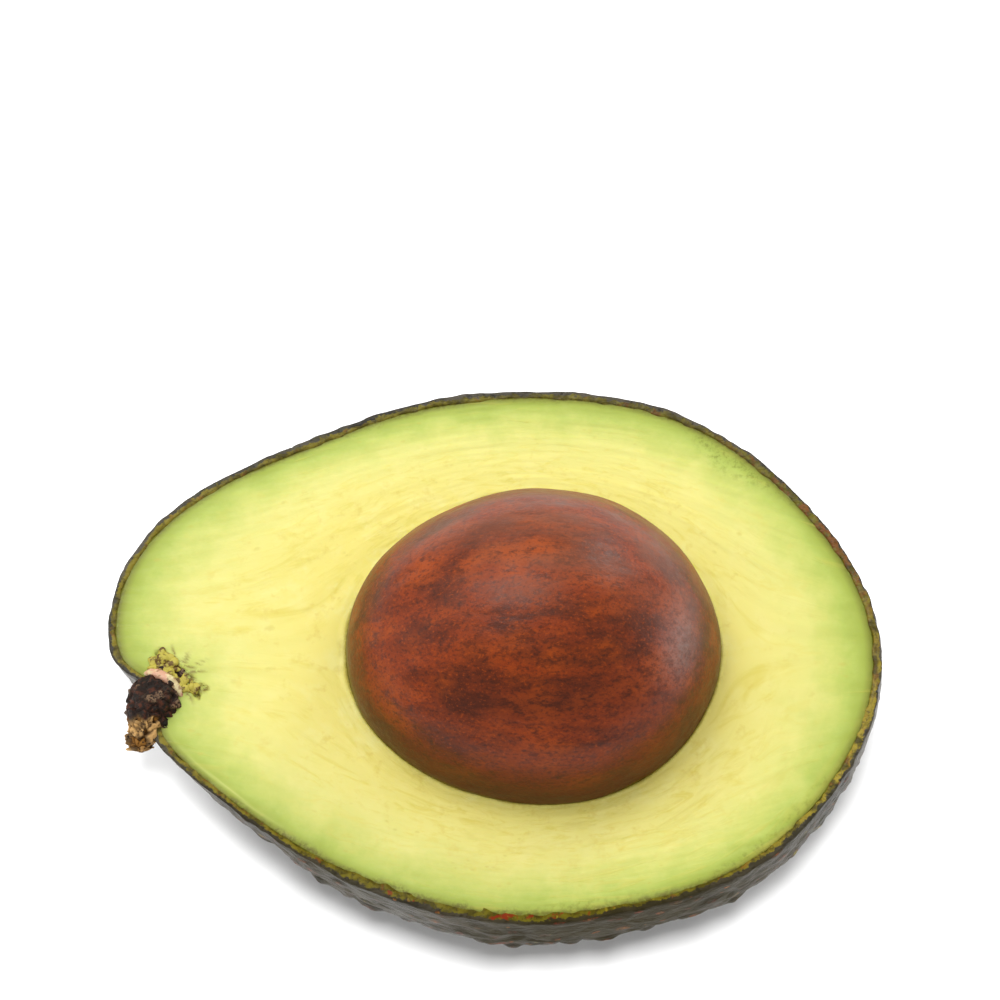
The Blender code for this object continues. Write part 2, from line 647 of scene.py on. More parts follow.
    def bump(self, height: Socket, depth: float, below: Socket | None = None) -> Socket:
        """A normal tilted by a height.

        Args:
            height: The height, from 0 to 1.
            depth: What a height of 1 stands for in metres.
            below: A normal that this one is added to.

        Returns:
            The tilted normal.
        """
        node = self.node("ShaderNodeBump")
        node.inputs["Distance"].default_value = depth
        self.feed(node.inputs["Height"], height)
        if below is not None:
            self.feed(node.inputs["Normal"], below)
        return node.outputs["Normal"]

    def finish(self, **values: object) -> bpy.types.Material:
        """The material, with a principled shader on its output.

        Args:
            values: Values or sockets by the shader's input names, with _ for each space.

        Returns:
            The finished material.
        """
        shader = self.node("ShaderNodeBsdfPrincipled")
        for label, value in values.items():
            self.feed(shader.inputs[label.replace("_", " ")], value)
        output = self.node("ShaderNodeOutputMaterial")
        self.feed(output.inputs["Surface"], shader.outputs["BSDF"])
        return self.material


# ---------------------------------------------------------------------------------------------
# The fruit's form


@dataclass(frozen=True)
class FruitForm:
    """The outside of the half fruit, and surfaces that lie under it.

    Level slices are copies of the cut face's outline. Upright slices are superellipses that lean
    a little towards the blossom end. The neck is slimmer than the body and its underside is
    tucked towards +Y. The belly has a flat spot, and a dimple sinks in where the stem grows.
    """

    face_height: float
    outline_radii: tuple[float, ...] = (
        47.2, 44.5, 41.3, 38.8, 36.4, 35.9, 37.1, 41.2, 48.9,
        50.9, 44.6, 38.9, 36.4, 35.9, 36.6, 38.8, 42.6, 45.6,
    )  # fmt: skip
    flattening: float = 0.45 * MM
    fullness: float = 2.3
    lean: float = 0.7 * MM
    neck_slimming: float = 0.18
    neck_shares: tuple[float, float] = (0.45, 0.95)
    tuck: float = 0.28
    pit_angle: float = math.radians(187.5)
    pit_depth: float = 4.2 * MM
    pit_spread: float = 2.6 * MM
    pit_stretch: float = 2.6

    def outline(self, angle: np.ndarray) -> np.ndarray:
        """The outline's radius: the smooth periodic curve through the even outline radii.

        Each radius r_k at angle a_k adds r_k sin(n(a - a_k)/2) cos((a - a_k)/2) over
        n sin((a - a_k)/2), where n is their count.

        Args:
            angle: Angles about the upright axis.

        Returns:
            The radius in metres at each angle.
        """
        count = len(self.outline_radii)
        total = np.zeros_like(angle)
        for index, radius in enumerate(self.outline_radii):
            turn = angle - index * 2.0 * np.pi / count
            half = np.sin(turn / 2.0)
            at_point = np.abs(half) < 1e-9
            half = np.where(at_point, 1.0, half)
            kernel = np.sin(count * turn / 2.0) * np.cos(turn / 2.0) / (count * half)
            total += radius * MM * np.where(at_point, 1.0, kernel)
        return total

    def pit_centre(self, inset: float = 0.0) -> np.ndarray:
        """The middle of the dimple on the cut face's outline.

        Args:
            inset: How far inwards of the outline it is taken.

        Returns:
            The place.
        """
        radius = float(self.outline(np.array([self.pit_angle]))[0]) - inset
        direction = np.array([math.cos(self.pit_angle), math.sin(self.pit_angle), 0.0])
        return radius * direction + np.array([0.0, 0.0, self.face_height])

    def surface(
        self, angle: np.ndarray, width: np.ndarray, depth: np.ndarray, inset: float = 0.0
    ) -> np.ndarray:
        """Places on a surface that lies inset under the outside.

        Args:
            angle: Angles about the upright axis.
            width: Shares of the outline's radius, from 0 to 1.
            depth: Shares of the full depth under the cut face, from 0 to 1.
            inset: How far under the outside the surface lies.

        Returns:
            The places, with one more axis than the arguments.
        """
        radius = (self.outline(angle) - inset) * width
        x, y = radius * np.cos(angle), radius * np.sin(angle)
        neck_length = self.outline_radii[len(self.outline_radii) // 2] * MM
        slimmed = 1.0 - self.neck_slimming * (np.minimum(0.0, x) / neck_length) ** 2
        full_depth = (self.face_height + self.flattening) * slimmed - inset
        drop = np.minimum(self.face_height - inset, depth * full_depth)
        x = x + self.lean * np.sin(np.pi * drop / self.face_height)
        start, end = self.neck_shares
        neck = smooth_step(-x, start * neck_length, end * neck_length)
        y = y + self.tuck * neck * drop * (1.0 - 0.5 * drop / self.face_height)
        point = np.stack([x, y, self.face_height - drop], axis=-1)
        centre = self.pit_centre(inset)
        away = (point - centre) / np.array([1.0, 1.0, self.pit_stretch])
        reach = np.linalg.norm(away, axis=-1) / self.pit_spread
        inwards = -unit(centre * np.array([1.0, 1.0, 0.0]))
        return point + (self.pit_depth * np.exp(-0.5 * reach**2))[..., None] * inwards

    def bowl(self, steps: int, inset: float = 0.0) -> np.ndarray:
        """The half's rounded side as a square grid of places, with its rim on the cut face.

        On the disc's radius r, the width is sin(pi r/2) and the depth cos(pi r/2), each to the
        power of 2 over the fullness.

        Args:
            steps: Steps along each side of the grid.
            inset: How far under the outside the surface lies.

        Returns:
            The places as a square array.
        """
        radius, angle = Disc(steps).coordinates()
        width = np.sin(radius * np.pi / 2.0) ** (2.0 / self.fullness)
        depth = np.clip(np.cos(radius * np.pi / 2.0), 0.0, 1.0) ** (2.0 / self.fullness)
        return self.surface(angle, width, np.where(radius >= 1.0, 0.0, depth), inset)

    def rim(self, count: int, inset: float = 0.0) -> np.ndarray:
        """A ring of places on the cut face, inset from the outline."""
        return self.surface(ring_angles(count), np.ones(count), np.zeros(count), inset)


@dataclass(frozen=True)
class SeedForm:
    """The seed's egg shape: an ellipsoid along X that is wider towards the blossom end."""

    centre: np.ndarray
    half_length: float
    half_width: float
    bluntness: float = 0.07

    def swell(self, pole: np.ndarray) -> np.ndarray:
        """The width's factor at a height on the axis from -1 to 1: 1 + bluntness p (1 - p^2)."""
        return 1.0 + self.bluntness * pole * (1.0 - pole**2)

    def dome(self, steps: int, growth: float, top: float) -> np.ndarray:
        """Half of the seed as a square grid of places, cut level through its centre.

        X of each unit direction is scaled by the half length, and Y and Z by the half width and
        the swell.

        Args:
            steps: Steps along each side of the grid.
            growth: How much larger than the seed the surface is on every side.
            top: 1 for the upper half and -1 for the lower.

        Returns:
            The places as a square array.
        """
        direction = Disc(steps).hemisphere(top)
        pole = direction[..., 0]
        width = (self.half_width + growth) * self.swell(pole)
        size = np.stack([np.full(pole.shape, self.half_length + growth), width, width], axis=-1)
        return self.centre + direction * size

    def ring(self, count: int, growth: float, height: float) -> np.ndarray:
        """A level ring round the seed.

        Args:
            count: How many points.
            growth: How much wider than the seed the ring is.
            height: The ring's height in the frame.

        Returns:
            The places as rows.
        """
        angle = ring_angles(count)
        up = (height - self.centre[2]) / (self.half_width + growth)
        out = math.sqrt(max(0.0, 1.0 - up**2))
        pole, side = out * np.cos(angle), out * np.sin(angle)
        x = (self.half_length + growth) * pole
        y = (self.half_width + growth) * self.swell(pole) * side
        return np.stack([self.centre[0] + x, self.centre[1] + y, np.full(count, height)], -1)


# ---------------------------------------------------------------------------------------------
# Finishes


@dataclass(frozen=True)
class SkinFinish:
    """Charcoal-green leathery skin with a waxy sheen, coloured wart tips and an olive cut edge."""

    dark: Colour = display(45, 41, 30)
    pale: Colour = display(90, 83, 69)
    green: Colour = display(60, 61, 32)
    # dark for random specks, and painted shade for the ripples' hollows and the rings round the warts
    speck_and_hollow_shade: Colour = display(28, 25, 17)
    shaded: Colour = display(56, 49, 22)
    tip_red: Colour = display(122, 48, 30)
    tip_orange: Colour = display(164, 90, 44)
    tip_yellow: Colour = display(160, 146, 52)
    cut_dark: Colour = display(82, 74, 14)
    cut_olive: Colour = display(112, 104, 26)
    cut_ochre: Colour = display(166, 146, 44)
    cut_brown: Colour = display(124, 76, 28)
    cut_red: Colour = display(140, 44, 22)
    hide: Grain = Grain(1.3 * MM, 3.0, 0.6, scale=(0.6, 1.0, 1.0))
    coat: tuple[tuple[Colour, Pattern], ...] = (
        (pale, Pattern(Grain(9.0 * MM, 3.0, 0.55), 0.35, 0.68)),
        (green, Pattern(Grain(6.0 * MM, 2.0, 0.55), 0.46, 0.70, end=0.5)),
        (pale, Pattern(hide, 0.44, 0.66, end=0.65)),
        (speck_and_hollow_shade, Pattern(Grain(0.7 * MM, 3.0, 0.7), 0.46, 0.34, end=0.7)),
    )
    # how far the strip under the rim is darkened, as painted shade
    strip_shade_strength: float = 0.7
    fleck_cell: float = 2.4 * MM
    fleck_edge: tuple[float, float] = (0.17, 0.06)
    fleck_strength: float = 0.75
    fleck_choice: Pattern = Pattern(Grain(1.9 * MM, 0.0), 0.50, 0.56)
    fleck_hue: Pattern = Pattern(Grain(2.2 * MM, 0.0), 0.42, 0.58)
    worn_tip: Pattern = Pattern(Grain(0.5 * MM, 3.0, 0.7), 0.38, 0.60)
    orange_hue: tuple[float, float] = (0.3, 0.8)
    yellow_hue: tuple[float, float] = (0.82, 0.90)
    mottle: Grain = Grain(1.7 * MM, 3.0, 0.6)
    cut_mottle: Pattern = Pattern(mottle, 0.40, 0.62)
    cut_light: Pattern = Pattern(mottle, 0.34, 0.56)
    cut_ruddy: Pattern = Pattern(Grain(1.5 * MM, 2.0, 0.6), 0.42, 0.58)
    cut_shadow: Pattern = Pattern(Grain(0.7 * MM, 3.0, 0.7), 0.50, 0.36, end=0.55)
    clusters: Pattern = Pattern(Grain(4.0 * MM, 1.0), 0.48, 0.58)
    dots: Pattern = Pattern(Grain(1.0 * MM, scale=(1.3, 0.8, 1.0)), 0.62, 0.72, end=0.8)
    specks: Pattern = Pattern(Grain(1.2 * MM), 0.56, 0.64, end=0.9)
    ragged: Pattern = Pattern(Grain(1.1 * MM, 3.0, 0.7), 0.3, 0.7, -0.22, 0.22)
    cut_edge: tuple[float, float] = (0.30, 0.50)
    wrinkle: Grain = Grain(1.4 * MM, 3.0, 0.6, 0.8, (0.55, 1.0, 1.0))
    wrinkle_depth: float = 0.34 * MM
    fine: Grain = Grain(0.4 * MM, 3.0, 0.6)
    fine_depth: float = 0.06 * MM
    roughness: Pattern = Pattern(hide, 0.3, 0.7, 0.34, 0.46)
    dull_strip_roughness: float = 0.15
    shine: tuple[float, float] = (0.26, 0.06)  # of the rest of the skin and of the dull strip with painted shade under the rim

    def cut_colour(self, sheet: Sheet) -> Socket:
        """The cut edge's colour: dark olive, with an ochre stretch, a ruddy one and red specks.

        Args:
            sheet: The material that is being made.

        Returns:
            The colour. It reads the marks ochre, ruddy and specked.
        """
        edge = sheet.lay(self.cut_dark, self.cut_olive, self.cut_mottle)
        edge = sheet.lay(edge, self.cut_ochre, self.cut_light, sheet.attribute("ochre"))
        edge = sheet.lay(edge, self.cut_brown, self.cut_ruddy, sheet.attribute("ruddy"))
        edge = sheet.lay(edge, self.shaded, self.cut_shadow)
        clusters = sheet.times(sheet.attribute("specked"), sheet.pattern(self.clusters))
        edge = sheet.lay(edge, self.cut_ochre, self.dots, clusters)
        return sheet.lay(edge, self.cut_red, self.specks, clusters)

    def tipped(self, sheet: Sheet, base: Socket) -> Socket:
        """The skin with small flecks and the warts' coloured tips laid over it.

        Args:
            sheet: The material that is being made.
            base: The skin's colour.

        Returns:
            The colour. It reads the marks tip and hue.
        """
        worn = sheet.pattern(self.worn_tip)
        chosen = sheet.times(sheet.pattern(self.fleck_choice), worn)
        spot = sheet.spread(sheet.spots(self.fleck_cell, sheet.place), *self.fleck_edge)
        fleck = sheet.times(sheet.times(spot, chosen), self.fleck_strength)
        base = sheet.mix(fleck, base, sheet.lay(self.tip_yellow, self.tip_orange, self.fleck_hue))
        hue = sheet.attribute("hue")
        tint = sheet.mix(sheet.spread(hue, *self.orange_hue), self.tip_red, self.tip_orange)
        tint = sheet.mix(sheet.spread(hue, *self.yellow_hue), tint, self.tip_yellow)
        return sheet.mix(sheet.times(sheet.attribute("tip"), worn), base, tint)

    def material(self) -> bpy.types.Material:
        """Make the finish.

        Returns:
            The material. It also reads the marks groove, dry and cut.
        """
        sheet = Sheet("skin")
        base = self.dark
        for colour, pattern in self.coat:
            base = sheet.lay(base, colour, pattern)
        # painted shade: darker in the ripples' hollows and in a ring round each wart's base
        base = sheet.mix(sheet.attribute("speck_and_hollow_shade"), base, self.speck_and_hollow_shade)
        # painted shade: the strip just under the rim on the -Y side and lower left is darkened, and
        # also made duller
        dull_shaded_strip = sheet.attribute("dull_shaded_strip")
        base = sheet.mix(sheet.times(dull_shaded_strip, self.strip_shade_strength), base, self.shaded)
        base = self.tipped(sheet, base)
        cut = sheet.plus(sheet.attribute("cut"), sheet.pattern(self.ragged))
        base = sheet.mix(sheet.spread(cut, *self.cut_edge), base, self.cut_colour(sheet))
        fine = sheet.bump(sheet.noise(self.fine), self.fine_depth)
        return sheet.finish(
            Base_Color=base,
            Roughness=sheet.plus(sheet.pattern(self.roughness), sheet.times(dull_shaded_strip, self.dull_strip_roughness)),
            Specular_IOR_Level=sheet.spread(dull_shaded_strip, 0.0, 1.0, *self.shine),
            Normal=sheet.bump(sheet.noise(self.wrinkle), self.wrinkle_depth, fine),
        )


@dataclass(frozen=True)
class FleshFinish:
    """Moist flesh: fresh green by the skin, buttery yellow by the seed, with faint fibres."""

    reach: float = 20.0 * MM
    bands: tuple[tuple[float, Colour], ...] = (
        (0.0, display(112, 114, 30)),
        (0.35, display(140, 148, 44)),
        (0.9, display(168, 184, 70)),
        (2.0, display(190, 206, 93)),
        (3.0, display(204, 214, 104)),
        (4.2, display(217, 222, 114)),
        (6.0, display(235, 232, 130)),
        (9.0, display(244, 235, 132)),
        (14.0, display(247, 233, 124)),
        (20.0, display(248, 232, 114)),
    )  # millimetres from the skin
    pale: Colour = display(250, 241, 148)
    vein: Colour = display(234, 218, 94)
    blot: Colour = display(226, 202, 84)
    fibre: Colour = display(220, 204, 88)
    speckle: Colour = display(132, 142, 42)
    line: Colour = display(226, 228, 132)
    fleck: Colour = display(206, 190, 80)
    shaded: Colour = display(196, 178, 76)
    stain: Colour = display(104, 98, 22)
    torn: Colour = display(122, 98, 26)
    wander: Pattern = Pattern(Grain(5.0 * MM, 4.0, 0.62), 0.3, 0.7, -0.75 * MM, 0.75 * MM)
    wander_from: tuple[float, float] = (0.5 * MM, 3.0 * MM)
    clouds: Pattern = Pattern(Grain(3.4 * MM, 3.0, 0.6), 0.46, 0.70, end=0.8)
    marbling: Pattern = Pattern(
        Grain(1.9 * MM, 4.0, 0.62, 1.5, (0.26, 1.0, 1.0)), 0.49, 0.72, end=0.75
    )
    veined: tuple[float, float] = (0.10, 0.55)  # shares of the reach
    blots: Pattern = Pattern(Grain(2.0 * MM, 3.0, 0.6), 0.56, 0.76, end=0.8)
    bruised: tuple[float, float] = (0.1, 0.9)
    speckles: Pattern = Pattern(Grain(0.9 * MM, 3.0, 0.7), 0.44, 0.68, end=0.8)
    strands: Pattern = Pattern(
        Grain(1.2 * MM, 3.0, 0.65, 0.6, (0.16, 1.0, 1.0)), 0.52, 0.78
    )
    strand_areas: Pattern = Pattern(Grain(8.0 * MM), 0.44, 0.62, end=0.8)
    round_strands: Pattern = Pattern(
        Grain(1.5 * MM, 3.0, 0.65, 0.6, (0.16, 1.0, 1.0)), 0.48, 0.72
    )
    strand_strength: float = 0.4
    dot_cell: float = 1.4 * MM
    dot_scale: Colour = (0.5, 1.0, 1.0)
    dot_edge: tuple[float, float] = (0.22, 0.06)
    dot_strength: float = 0.3
    dot_areas: Pattern = Pattern(Grain(2.0 * MM, 1.0), 0.52, 0.62)
    line_strength: float = 0.8
    ragged: Grain = Grain(0.7 * MM, 3.0, 0.7)
    stained: Pattern = Pattern(ragged, 0.62, 0.40)
    broken: Pattern = Pattern(ragged, 0.36, 0.56)
    tattered: Pattern = Pattern(ragged, 0.34, 0.52)
    fine: Grain = Grain(0.5 * MM, 3.0, 0.6, scale=(0.3, 1.0, 1.0))
    fine_depth: float = 0.02 * MM
    strand_depth: float = 0.03 * MM
    roughness: tuple[float, float] = (0.38, 0.52)
    shine: float = 0.35
    glow: float = 0.25
    glow_reach: float = 1.2 * MM
    glow_tint: Colour = (1.0, 0.75, 0.3)

    def buttery(self, sheet: Sheet, flow: Socket) -> Socket:
        """The flesh's colour by its distance from the skin, with clouds, veins and blots.

        Args:
            sheet: The material that is being made.
            flow: Coordinates along and across the fibres.

        Returns:
            The colour. It reads the marks edge and bruise.
        """
        edge = sheet.attribute("edge")
        wander = sheet.times(sheet.pattern(self.wander), sheet.spread(edge, *self.wander_from))
        depth = sheet.combine(Sum.DIVIDE, sheet.plus(edge, wander), self.reach, clamp=True)
        stops = [(distance * MM / self.reach, colour) for distance, colour in self.bands]
        base = sheet.lay(sheet.ramp(depth, stops), self.pale, self.clouds, depth)
        base = sheet.lay(base, self.vein, self.marbling, sheet.spread(depth, *self.veined), flow)
        base = sheet.lay(base, self.blot, self.blots, depth)
        by_skin = sheet.spread(sheet.attribute("bruise"), *self.bruised)
        return sheet.lay(base, self.speckle, self.speckles, by_skin)

    def fibrous(self, sheet: Sheet, flow: Socket) -> Socket:
        """Where fibres show: along the flow in some areas, and round the seed in others.

        Args:
            sheet: The material that is being made.
            flow: Coordinates along and across the fibres.

        Returns:
            The fibres' strength from 0 to 1. It reads the marks rings and arcs.
        """
        along = sheet.times(sheet.pattern(self.strands, flow), sheet.pattern(self.strand_areas))
        rings = sheet.attribute("rings", vector=True)
        around = sheet.times(sheet.pattern(self.round_strands, rings), sheet.attribute("arcs"))
        return sheet.combine(Sum.MAXIMUM, along, around)

    def material(self) -> bpy.types.Material:
        """Make the finish.

        Returns:
            The material. It also reads the marks flow, line, stain, hollow and torn.
        """
        sheet = Sheet("flesh")
        flow = sheet.attribute("flow", vector=True)
        strands = self.fibrous(sheet, flow)
        base = self.buttery(sheet, flow)
        base = sheet.mix(sheet.times(strands, self.strand_strength), base, self.fibre)
        spots = sheet.spots(self.dot_cell, sheet.stretched(flow, self.dot_scale))
        dotted = sheet.times(sheet.spread(spots, *self.dot_edge), sheet.pattern(self.dot_areas))
        base = sheet.mix(sheet.times(dotted, self.dot_strength), base, self.fleck)
        line = sheet.times(sheet.attribute("line"), self.line_strength)
        base = sheet.mix(line, base, self.line)
        base = sheet.lay(base, self.stain, self.stained, sheet.attribute("stain"))
        base = sheet.lay(base, self.shaded, self.broken, sheet.attribute("hollow"))
        base = sheet.lay(base, self.torn, self.tattered, sheet.attribute("torn"))
        fine = sheet.noise(self.fine, flow)
        return sheet.finish(
            Base_Color=base,
            Roughness=sheet.spread(fine, 0.3, 0.7, *self.roughness),
            Specular_IOR_Level=self.shine,
            Subsurface_Weight=self.glow,
            Subsurface_Radius=self.glow_tint,
            Subsurface_Scale=self.glow_reach,
            Normal=sheet.bump(strands, self.strand_depth, sheet.bump(fine, self.fine_depth)),
        )


@dataclass(frozen=True)
class SeedFinish:
    """Satin seed coat: mottled red-brown with streaks along it, olive where the flesh held it.

    The olive also carries painted green light thrown back by the flesh, and the coat has
    painted shade, a painted sheen and a painted highlight.
    """

    red: Colour = display(138, 54, 2)
    bright: Colour = display(172, 74, 4)
    dark: Colour = display(82, 34, 8)
    black: Colour = display(52, 26, 12)
    # dust, and a painted sheen on the top and back of the seed
    dust_and_sheen: Colour = display(126, 80, 60)
    shade: Colour = display(76, 32, 8)
    olive: Colour = display(116, 100, 18)
    brown: Colour = display(92, 66, 12)
    # painted shade for the belt just above the face
    foot: Colour = display(76, 34, 14)
    # a painted highlight
    highlight_spot: Colour = display(158, 138, 130)
    coarse: Grain = Grain(0.9 * MM, 3.0, 0.7, scale=(0.5, 1.0, 1.0))
    speckle: Grain = Grain(0.36 * MM, 2.0, 0.7, scale=(0.7, 1.0, 1.0))
    coat: tuple[tuple[Colour, Pattern], ...] = (
        (red, Pattern(Grain(5.0 * MM, 3.0, 0.55, 0.7, (0.30, 1.0, 1.0)), 0.28, 0.60)),
        (bright, Pattern(Grain(6.0 * MM, 3.0, 0.55, 0.5, (0.5, 1.0, 1.0)), 0.42, 0.72)),
        (dark, Pattern(coarse, 0.52, 0.32, end=0.7)),
        (black, Pattern(speckle, 0.48, 0.34, end=0.5)),
        (bright, Pattern(speckle, 0.56, 0.72, end=0.6)),
    )
    shading: Pattern = Pattern(coarse, 0.30, 0.62, 1.0, 0.45)
    dust_and_sheen_haze: Pattern = Pattern(Grain(4.2 * MM, 3.0, 0.6, scale=(0.30, 1.0, 1.0)), 0.34, 0.62, 0.25)
    foot_strength: float = 0.85
    highlight_pattern: Pattern = Pattern(coarse, 0.34, 0.66, 0.4)
    ragged: Pattern = Pattern(
        Grain(1.6 * MM, 3.0, 0.6, scale=(0.30, 1.0, 1.0)), 0.3, 0.7, -0.16, 0.16
    )
    # olive left by the flesh, together with painted light reflected from the flesh
    husk_and_reflection: Pattern = Pattern(coarse, 0.36, 0.6)
    husk_and_reflection_edge: tuple[float, float] = (0.18, 0.85)
    roughness: Pattern = Pattern(coarse, 0.3, 0.7, 0.33, 0.45)
    shine: float = 0.22
    coarse_depth: float = 0.04 * MM
    fine: Grain = Grain(0.35 * MM, 2.0, 0.6)
    fine_depth: float = 0.02 * MM

    def material(self) -> bpy.types.Material:
        """Make the finish.

        Returns:
            The material. It reads the marks shade, crown, foot, bloom and seated.
        """
        sheet = Sheet("seed")
        base = self.dark
        for colour, pattern in self.coat:
            base = sheet.lay(base, colour, pattern)
        base = sheet.lay(base, self.shade, self.shading, sheet.attribute("shade"))
        # dust with a painted sheen, on the upper +Y side and round the apex of the seed
        base = sheet.lay(base, self.dust_and_sheen, self.dust_and_sheen_haze, sheet.attribute("crown"))
        # painted shade: a darker belt just above the face, higher on the -Y side
        base = sheet.mix(sheet.times(sheet.attribute("foot"), self.foot_strength), base, self.foot)
        # painted highlight: a pale spot where a light shines back off the seed
        base = sheet.lay(base, self.highlight_spot, self.highlight_pattern, sheet.attribute("highlight_spot"))
        # olive near the face: coat left by the flesh, and painted green light thrown back by the flesh
        near = sheet.plus(sheet.attribute("seated"), sheet.pattern(self.ragged))
        husk_and_reflection = sheet.lay(self.brown, self.olive, self.husk_and_reflection)
        base = sheet.mix(sheet.spread(near, *self.husk_and_reflection_edge), base, husk_and_reflection)
        fine = sheet.bump(sheet.noise(self.fine), self.fine_depth)
        return sheet.finish(
            Base_Color=base,
            Roughness=sheet.pattern(self.roughness),
            Specular_IOR_Level=self.shine,
            Normal=sheet.bump(sheet.noise(self.coarse), self.coarse_depth, fine),
        )


@dataclass(frozen=True)
class BarkFinish:
    """Nearly black blocky bark that ends in crumbly tan wood with dark holes."""

    black: Colour = display(32, 22, 12)
    brown: Colour = display(88, 46, 26)
    dust: Colour = display(132, 104, 78)
    tan: Colour = display(212, 166, 102)
    ochre: Colour = display(162, 110, 40)
    crevice: Colour = display(44, 26, 14)
    lumps: Grain = Grain(0.8 * MM, 3.0, 0.65)
    lump_depth: float = 0.25 * MM
    grit: Grain = Grain(0.3 * MM, 2.0, 0.6)
    grit_depth: float = 0.12 * MM
    browned: Pattern = Pattern(lumps, 0.46, 0.66)
    holes: Pattern = Pattern(lumps, 0.46, 0.33)
    dusted: Pattern = Pattern(grit, 0.4, 0.6)

    def material(self) -> bpy.types.Material:
        """Make the finish.

        Returns:
            The material. It reads the marks chunk, broken and crack.
        """
        sheet = Sheet("bark")
        chunk = sheet.attribute("chunk")
        bark = sheet.lay(self.black, self.brown, self.browned)
        bark = sheet.lay(bark, self.dust, self.dusted, sheet.spread(chunk, 0.70, 0.9))
        wood = sheet.mix(sheet.spread(chunk, 0.2, 0.7), self.ochre, self.tan)
        wood = sheet.lay(wood, self.crevice, self.holes)
        base = sheet.mix(sheet.attribute("broken"), bark, wood)
        base = sheet.mix(sheet.attribute("crack"), base, self.crevice)
        gritty = sheet.bump(sheet.noise(self.grit), self.grit_depth)
        return sheet.finish(
            Base_Color=base,
            Roughness=0.7,
            Specular_IOR_Level=0.3,
            Normal=sheet.bump(sheet.noise(self.lumps), self.lump_depth, gritty),
        )


@dataclass(frozen=True)
class CollarFinish:
    """The pale torn collar round the stem, pink towards the bark."""

    cream: Colour = display(234, 216, 164)
    pink: Colour = display(222, 168, 138)
    brown: Colour = display(140, 94, 54)
    patches: Pattern = Pattern(Grain(1.4 * MM, 3.0, 0.6), 0.40, 0.62)
    stains: Pattern = Pattern(Grain(0.6 * MM), 0.52, 0.66, end=0.7)
    depth: float = 0.1 * MM

    def material(self) -> bpy.types.Material:
        """Make the finish.

        Returns:
            The material.
        """
        sheet = Sheet("collar")
        base = sheet.lay(self.cream, self.pink, self.patches)
        return sheet.finish(
            Base_Color=sheet.lay(base, self.brown, self.stains),
            Roughness=0.5,
            Subsurface_Weight=0.2,
            Subsurface_Radius=(1.0, 0.6, 0.4),
            Subsurface_Scale=0.8 * MM,
            Normal=sheet.bump(sheet.noise(self.patches.grain), self.depth),
        )


@dataclass(frozen=True)
class CrumbFinish:
    """Torn olive and brown bits of dried flesh."""

    olive: Colour = display(196, 182, 70)
    brown: Colour = display(104, 76, 20)
    patches: Pattern = Pattern(Grain(0.9 * MM, 3.0, 0.65), 0.46, 0.60)
    depth: float = 0.1 * MM

    def material(self) -> bpy.types.Material:
        """Make the finish.

        Returns:
            The material.
        """
        sheet = Sheet("crumb")
        return sheet.finish(
            Base_Color=sheet.lay(self.olive, self.brown, self.patches),
            Roughness=0.6,
            Normal=sheet.bump(sheet.noise(self.patches.grain), self.depth),
        )


# ---------------------------------------------------------------------------------------------
# The parts


@dataclass
class Piece:
    """What every part of the fruit does: take its body and finish."""

    def settle(
        self, obj: bpy.types.Object, slot: Slot, finish: bpy.types.Material, node: str | None
    ) -> bpy.types.Object:
        """Dress a piece and tie it to the frame.

        Args:
            obj: The piece.
            slot: The record's slot for the piece. It is not used.
            finish: Its material.
            node: The CAD node that it stands for, if any.

        Returns:
            The piece.
        """
        obj.data.materials.append(finish)
        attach(obj, "root")
        if node is not None:
            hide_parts(node)
        LOG.info("%s: %d faces", obj.name, len(obj.data.polygons))
        return obj


